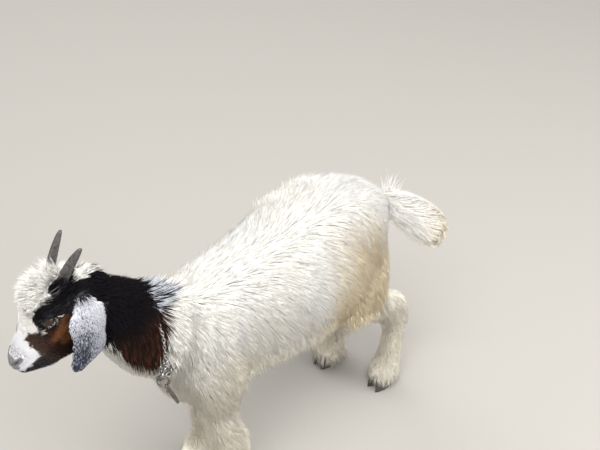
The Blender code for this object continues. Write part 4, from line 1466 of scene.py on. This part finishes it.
def make_eye(side, material):
    """One eyeball with a raised clear front, looking out between the lids."""
    length, up, out = eye_frame()
    deselect()
    radius = EYE_RADIUS - 0.0004
    bpy.ops.mesh.primitive_uv_sphere_add(segments=40, ring_count=28, radius=radius)
    eye = bpy.context.object
    eye.name = "left_eyeball" if side > 0 else "right_eyeball"
    points = points_of(eye)
    points = points * (1 + 0.055 * rise(0.60, 0.95, points[:, 2] / EYE_RADIUS))[:, None]
    uv = points[:, :2] / EYE_RADIUS * 0.5 + 0.5
    layer = eye.data.uv_layers.new(name="Gaze")
    loops = read_all(eye.data.loops, "vertex_index", 1, int)[:, 0]
    layer.data.foreach_set("uv", uv[loops].ravel())
    for spare in [layer.name for layer in eye.data.uv_layers if layer.name != "Gaze"]:
        eye.data.uv_layers.remove(eye.data.uv_layers[spare])
    local = EYE_PLACE + points[:, 0:1] * length + points[:, 1:2] * up + points[:, 2:3] * out
    local[:, 1] *= side
    set_points(eye, from_head(local))
    face_outwards(eye)
    eye.data.shade_smooth()
    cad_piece(eye, material, "eye", "left_eye" if side > 0 else "right_eye")


def face_outwards(obj):
    edited(obj, bpy.ops.mesh.normals_make_consistent, inside=False)


def ring_round(middle, radius, one, two, count):
    """Points round a middle, in the plane of two directions."""
    angles = np.linspace(0, 2 * math.pi, count, endpoint=False)
    return [middle + radius * (one * math.cos(a) + two * math.sin(a)) for a in angles]


def swept(name, rings, closed=False):
    """A closed mesh through rings of points: a tube with capped ends, or a ring."""
    rings = np.array(rings)
    steps, around, _ = rings.shape
    faces = []
    for i in range(steps if closed else steps - 1):
        for j in range(around):
            a = i * around + j
            b = i * around + (j + 1) % around
            c = (i + 1) % steps * around
            faces.append((a, b, c + (j + 1) % around, c + j))
    if not closed:
        faces.append(tuple(range(around)))
        faces.append(tuple((steps - 1) * around + j for j in range(around)))
    mesh = bpy.data.meshes.new(name)
    mesh.from_pydata(rings.reshape(-1, 3).tolist(), [], faces)
    obj = new_object(name, mesh)
    face_outwards(obj)
    mesh.shade_smooth()
    return obj


def make_horn(side, material):
    """A flat-keeled horn sweeping back, with growth rings that grow fainter to the tip."""
    keel = unit(np.array((0.70, -0.38, 0.60)))
    flank = unit(np.array((0.28, 0.92, 0.27)))
    rings = []
    for t in np.linspace(-0.10, 1.0, 90):
        bottom = max(t, 0.0)
        height = 0.006 + 0.043 * t - 0.010 * t * t
        middle = np.array((0.036 - 0.058 * t, 0.0125 + 0.010 * t, height))
        taper = math.sqrt(max(1 - bottom**2.2, 0.0))
        growth = 1 + (0.035 * math.sin(t * 62 + 0.6 * math.sin(t * 23))) * (1 - 0.8 * bottom)
        wide = (0.0012 + 0.0050 * taper) * growth if t < 0.999 else 0.0002
        deep = (0.0015 + 0.0070 * taper) * growth if t < 0.999 else 0.0002
        ring = []
        for angle in np.linspace(0, 2 * math.pi, 30, endpoint=False):
            out = deep * (1 + 0.10 * max(math.cos(angle), 0.0) ** 4) * math.cos(angle)
            ring.append(middle + keel * out + flank * wide * math.sin(angle))
        rings.append(ring)
    local = np.array(rings)
    local[:, :, 1] *= side
    name = "left_horn" if side > 0 else "right_horn"
    horn = swept(name + "_sheath", from_head(local))
    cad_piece(horn, material, "horn", name)


def make_hooves(material):
    """The claws, rounded, with a growth ring or two."""
    for node in sorted(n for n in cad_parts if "_hoof_" in n):
        claw = merged_copy(node)
        claw.name = node + "_horn"
        remeshed(claw, HOOF_VOXEL)
        points = points_of(claw)
        normals = normals_of(claw)
        rings = 0.00022 * np.sin(points[:, 2] * 2200 + 2.0 * soft_noise(points, 0.01, 61))
        rings = rings * (np.abs(normals[:, 2]) < 0.7) * rise(0.002, 0.006, points[:, 2])
        set_points(claw, points + normals * rings[:, None])
        claw.data.shade_smooth()
        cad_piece(claw, material, "hoof", node)


def link_rings(size, steps=14, sides=6):
    """The rings of an oval link round the origin, long along X and flat in Z."""
    length, width, wire = size
    rings = []
    bend = width / 2 - wire / 2
    straight = length / 2 - width / 2
    for angle in np.linspace(0, 2 * math.pi, steps, endpoint=False):
        out = np.array((math.cos(angle), math.sin(angle), 0.0))
        shift = straight * np.clip(math.cos(angle) * 2.2, -1, 1)
        middle = np.array((shift + bend * math.cos(angle), bend * math.sin(angle), 0.0))
        rings.append(ring_round(middle, wire / 2, out, np.array((0, 0, 1.0)), sides))
    return np.array(rings)


def placed(rings, place, along_way, facing):
    """Rings turned so that X runs along one direction and Z faces another."""
    one = unit(along_way)
    three = unit(facing - one * (facing @ one))
    two = np.cross(three, one)
    return place + rings @ np.array((one, two, three))


def make_collar(material):
    """The twisted chain, the clump of links where it meets, and the hook that hangs there."""
    line = np.vstack((COLLAR_LINE, COLLAR_LINE[:1]))
    run = np.concatenate(((0,), np.cumsum(np.linalg.norm(np.diff(line, axis=0), axis=1))))
    number = int(round(run[-1] / CHAIN_PITCH))
    links = []

    def on_line(at):
        return np.array([np.interp(at, run, line[:, axis]) for axis in range(3)])

    for i in range(number):
        at = run[-1] * (i + 0.5) / number
        place = on_line(at)
        way = unit(on_line(min(at + 0.004, run[-1])) - place)
        out = unit(place - COLLAR_MIDDLE)
        turn = math.radians(45 if i % 2 else -45)
        facing = out * math.cos(turn) + np.cross(way, out) * math.sin(turn)
        side = float(rise(0.032, 0.046, abs(place[1])))
        low = float(rise(0.490, 0.466, place[2]))
        raised = -0.0090 + 0.0140 * low * side - 0.0070 * low * (1 - side)
        rings = placed(link_rings(CHAIN_LINK), place + out * raised, way, facing)
        links.append(swept("link", rings, closed=True))
    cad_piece(join(links, "twisted_chain"), material, "chain_steel", "collar_chain")

    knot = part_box("collar_knot")
    middle = (np.array(knot[0]) + np.array(knot[1])) / 2 + CLUMP_SHIFT
    rng = np.random.default_rng(71)
    links = []
    for i in range(CLUMP_LINKS):
        place = middle + CLUMP_SPREAD * unit(rng.normal(size=3)) * (i % 4 + 1) / 4
        way = unit(rng.normal(size=3) * (0.7, 0.3, 1.0))
        facing = unit(rng.normal(size=3) + (-0.3, -1.4, 0.0))
        links.append(swept("link", placed(link_rings(CLUMP_LINK), place, way, facing), closed=True))
    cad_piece(join(links, "chain_clump"), material, "chain_steel", "collar_knot")
    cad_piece(snap_hook(), steel_material("hook_steel", 0.40), "chain_steel", "snap_hook")


def snap_hook():
    """An open hook above a turned barrel, with a thumb catch on its side."""
    facing = unit(np.array(HOOK_FACING))
    drop = unit(HOOK_END - HOOK_MIDDLE)
    right = unit(np.cross(facing, drop))
    drop = np.cross(right, facing)
    rings = []
    for angle in np.linspace(math.radians(-70), math.radians(230), 34):
        out = drop * -math.sin(angle) + right * math.cos(angle)
        rings.append(ring_round(HOOK_MIDDLE + out * HOOK_RADIUS, HOOK_WIRE, out, facing, 10))
    hook = swept("hook", rings)
    top = HOOK_MIDDLE + drop * 0.0082
    way = unit(HOOK_END - top)
    across = unit(np.cross(way, facing))
    over = np.cross(way, across)
    rings = [
        ring_round(top + (HOOK_END - top) * t, wide * MM, across, over, 18) for t, wide in BARREL
    ]
    barrel = swept("barrel", rings)
    place = top + (HOOK_END - top) * 0.32 + across * 0.0034
    catch = swept("catch", placed(link_rings(CATCH_LINK, 18, 7), place, way, over), closed=True)
    return join([hook, barrel, catch], "snap")


# The room, the light and the camera


def make_floor():
    bpy.ops.mesh.primitive_plane_add(size=FLOOR_SIZE)
    floor = bpy.context.object
    floor.name = "pale_floor"
    material, _, shader = new_material("pale_floor")
    shader.inputs["Base Color"].default_value = FLOOR_COLOUR
    shader.inputs["Roughness"].default_value = 0.9
    floor.data.materials.append(material)


def make_room():
    """The soft light of the room, three lamps and the camera."""
    scene = bpy.context.scene
    world = bpy.data.worlds.new("soft_room")
    world.use_nodes = True
    background = world.node_tree.nodes["Background"]
    background.inputs["Color"].default_value = ROOM_COLOUR
    background.inputs["Strength"].default_value = ROOM_STRENGTH
    scene.world = world
    for name, place, size, power in LAMPS:
        lamp = bpy.data.lights.new(name, "AREA")
        lamp.size = size
        lamp.energy = power
        obj = new_object(name, lamp)
        obj.location = place
        aim = Vector(LAMP_AIM) - Vector(place)
        obj.rotation_euler = aim.to_track_quat("-Z", "Y").to_euler()
    scene.view_settings.view_transform = "Standard"
    scene.view_settings.exposure = EXPOSURE
    camera = bpy.data.cameras.new("camera")
    camera.lens = CAMERA_LENS
    camera.sensor_width = CAMERA_SENSOR
    camera.clip_start = 0.05
    camera.clip_end = 30.0
    scene.camera = new_object("camera", camera)
    scene.camera.location = CAMERA_PLACE
    scene.camera.rotation_euler = CAMERA_TURN


def build():
    rng = np.random.default_rng(12)
    skin = make_skin()
    edited(skin, bpy.ops.uv.smart_project, angle_limit=math.radians(66), island_margin=0.002)
    skin.data.uv_layers[0].name = "OFBake"
    points = points_of(skin)
    colours, bare = skin_colour(points, regions_at(points))
    store_colour(skin, colours, bare)
    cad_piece(skin, skin_material(), "white_coat", *FLESH, *EARS)
    surface = Surface(skin)
    grow_coat(surface, rng)
    make_stray_hairs(surface, rng)

    eye = eye_material()
    horn = keratin_material("grey_horn", HORN_SHADES, 300.0)
    hoof = keratin_material("dusty_hoof", HOOF_SHADES, 220.0)
    for side in (1, -1):
        make_eye(side, eye)
        make_horn(side, horn)
    make_hooves(hoof)
    make_collar(steel_material("chain_steel", 0.78))
    make_floor()
    make_room()
    deselect()


build()
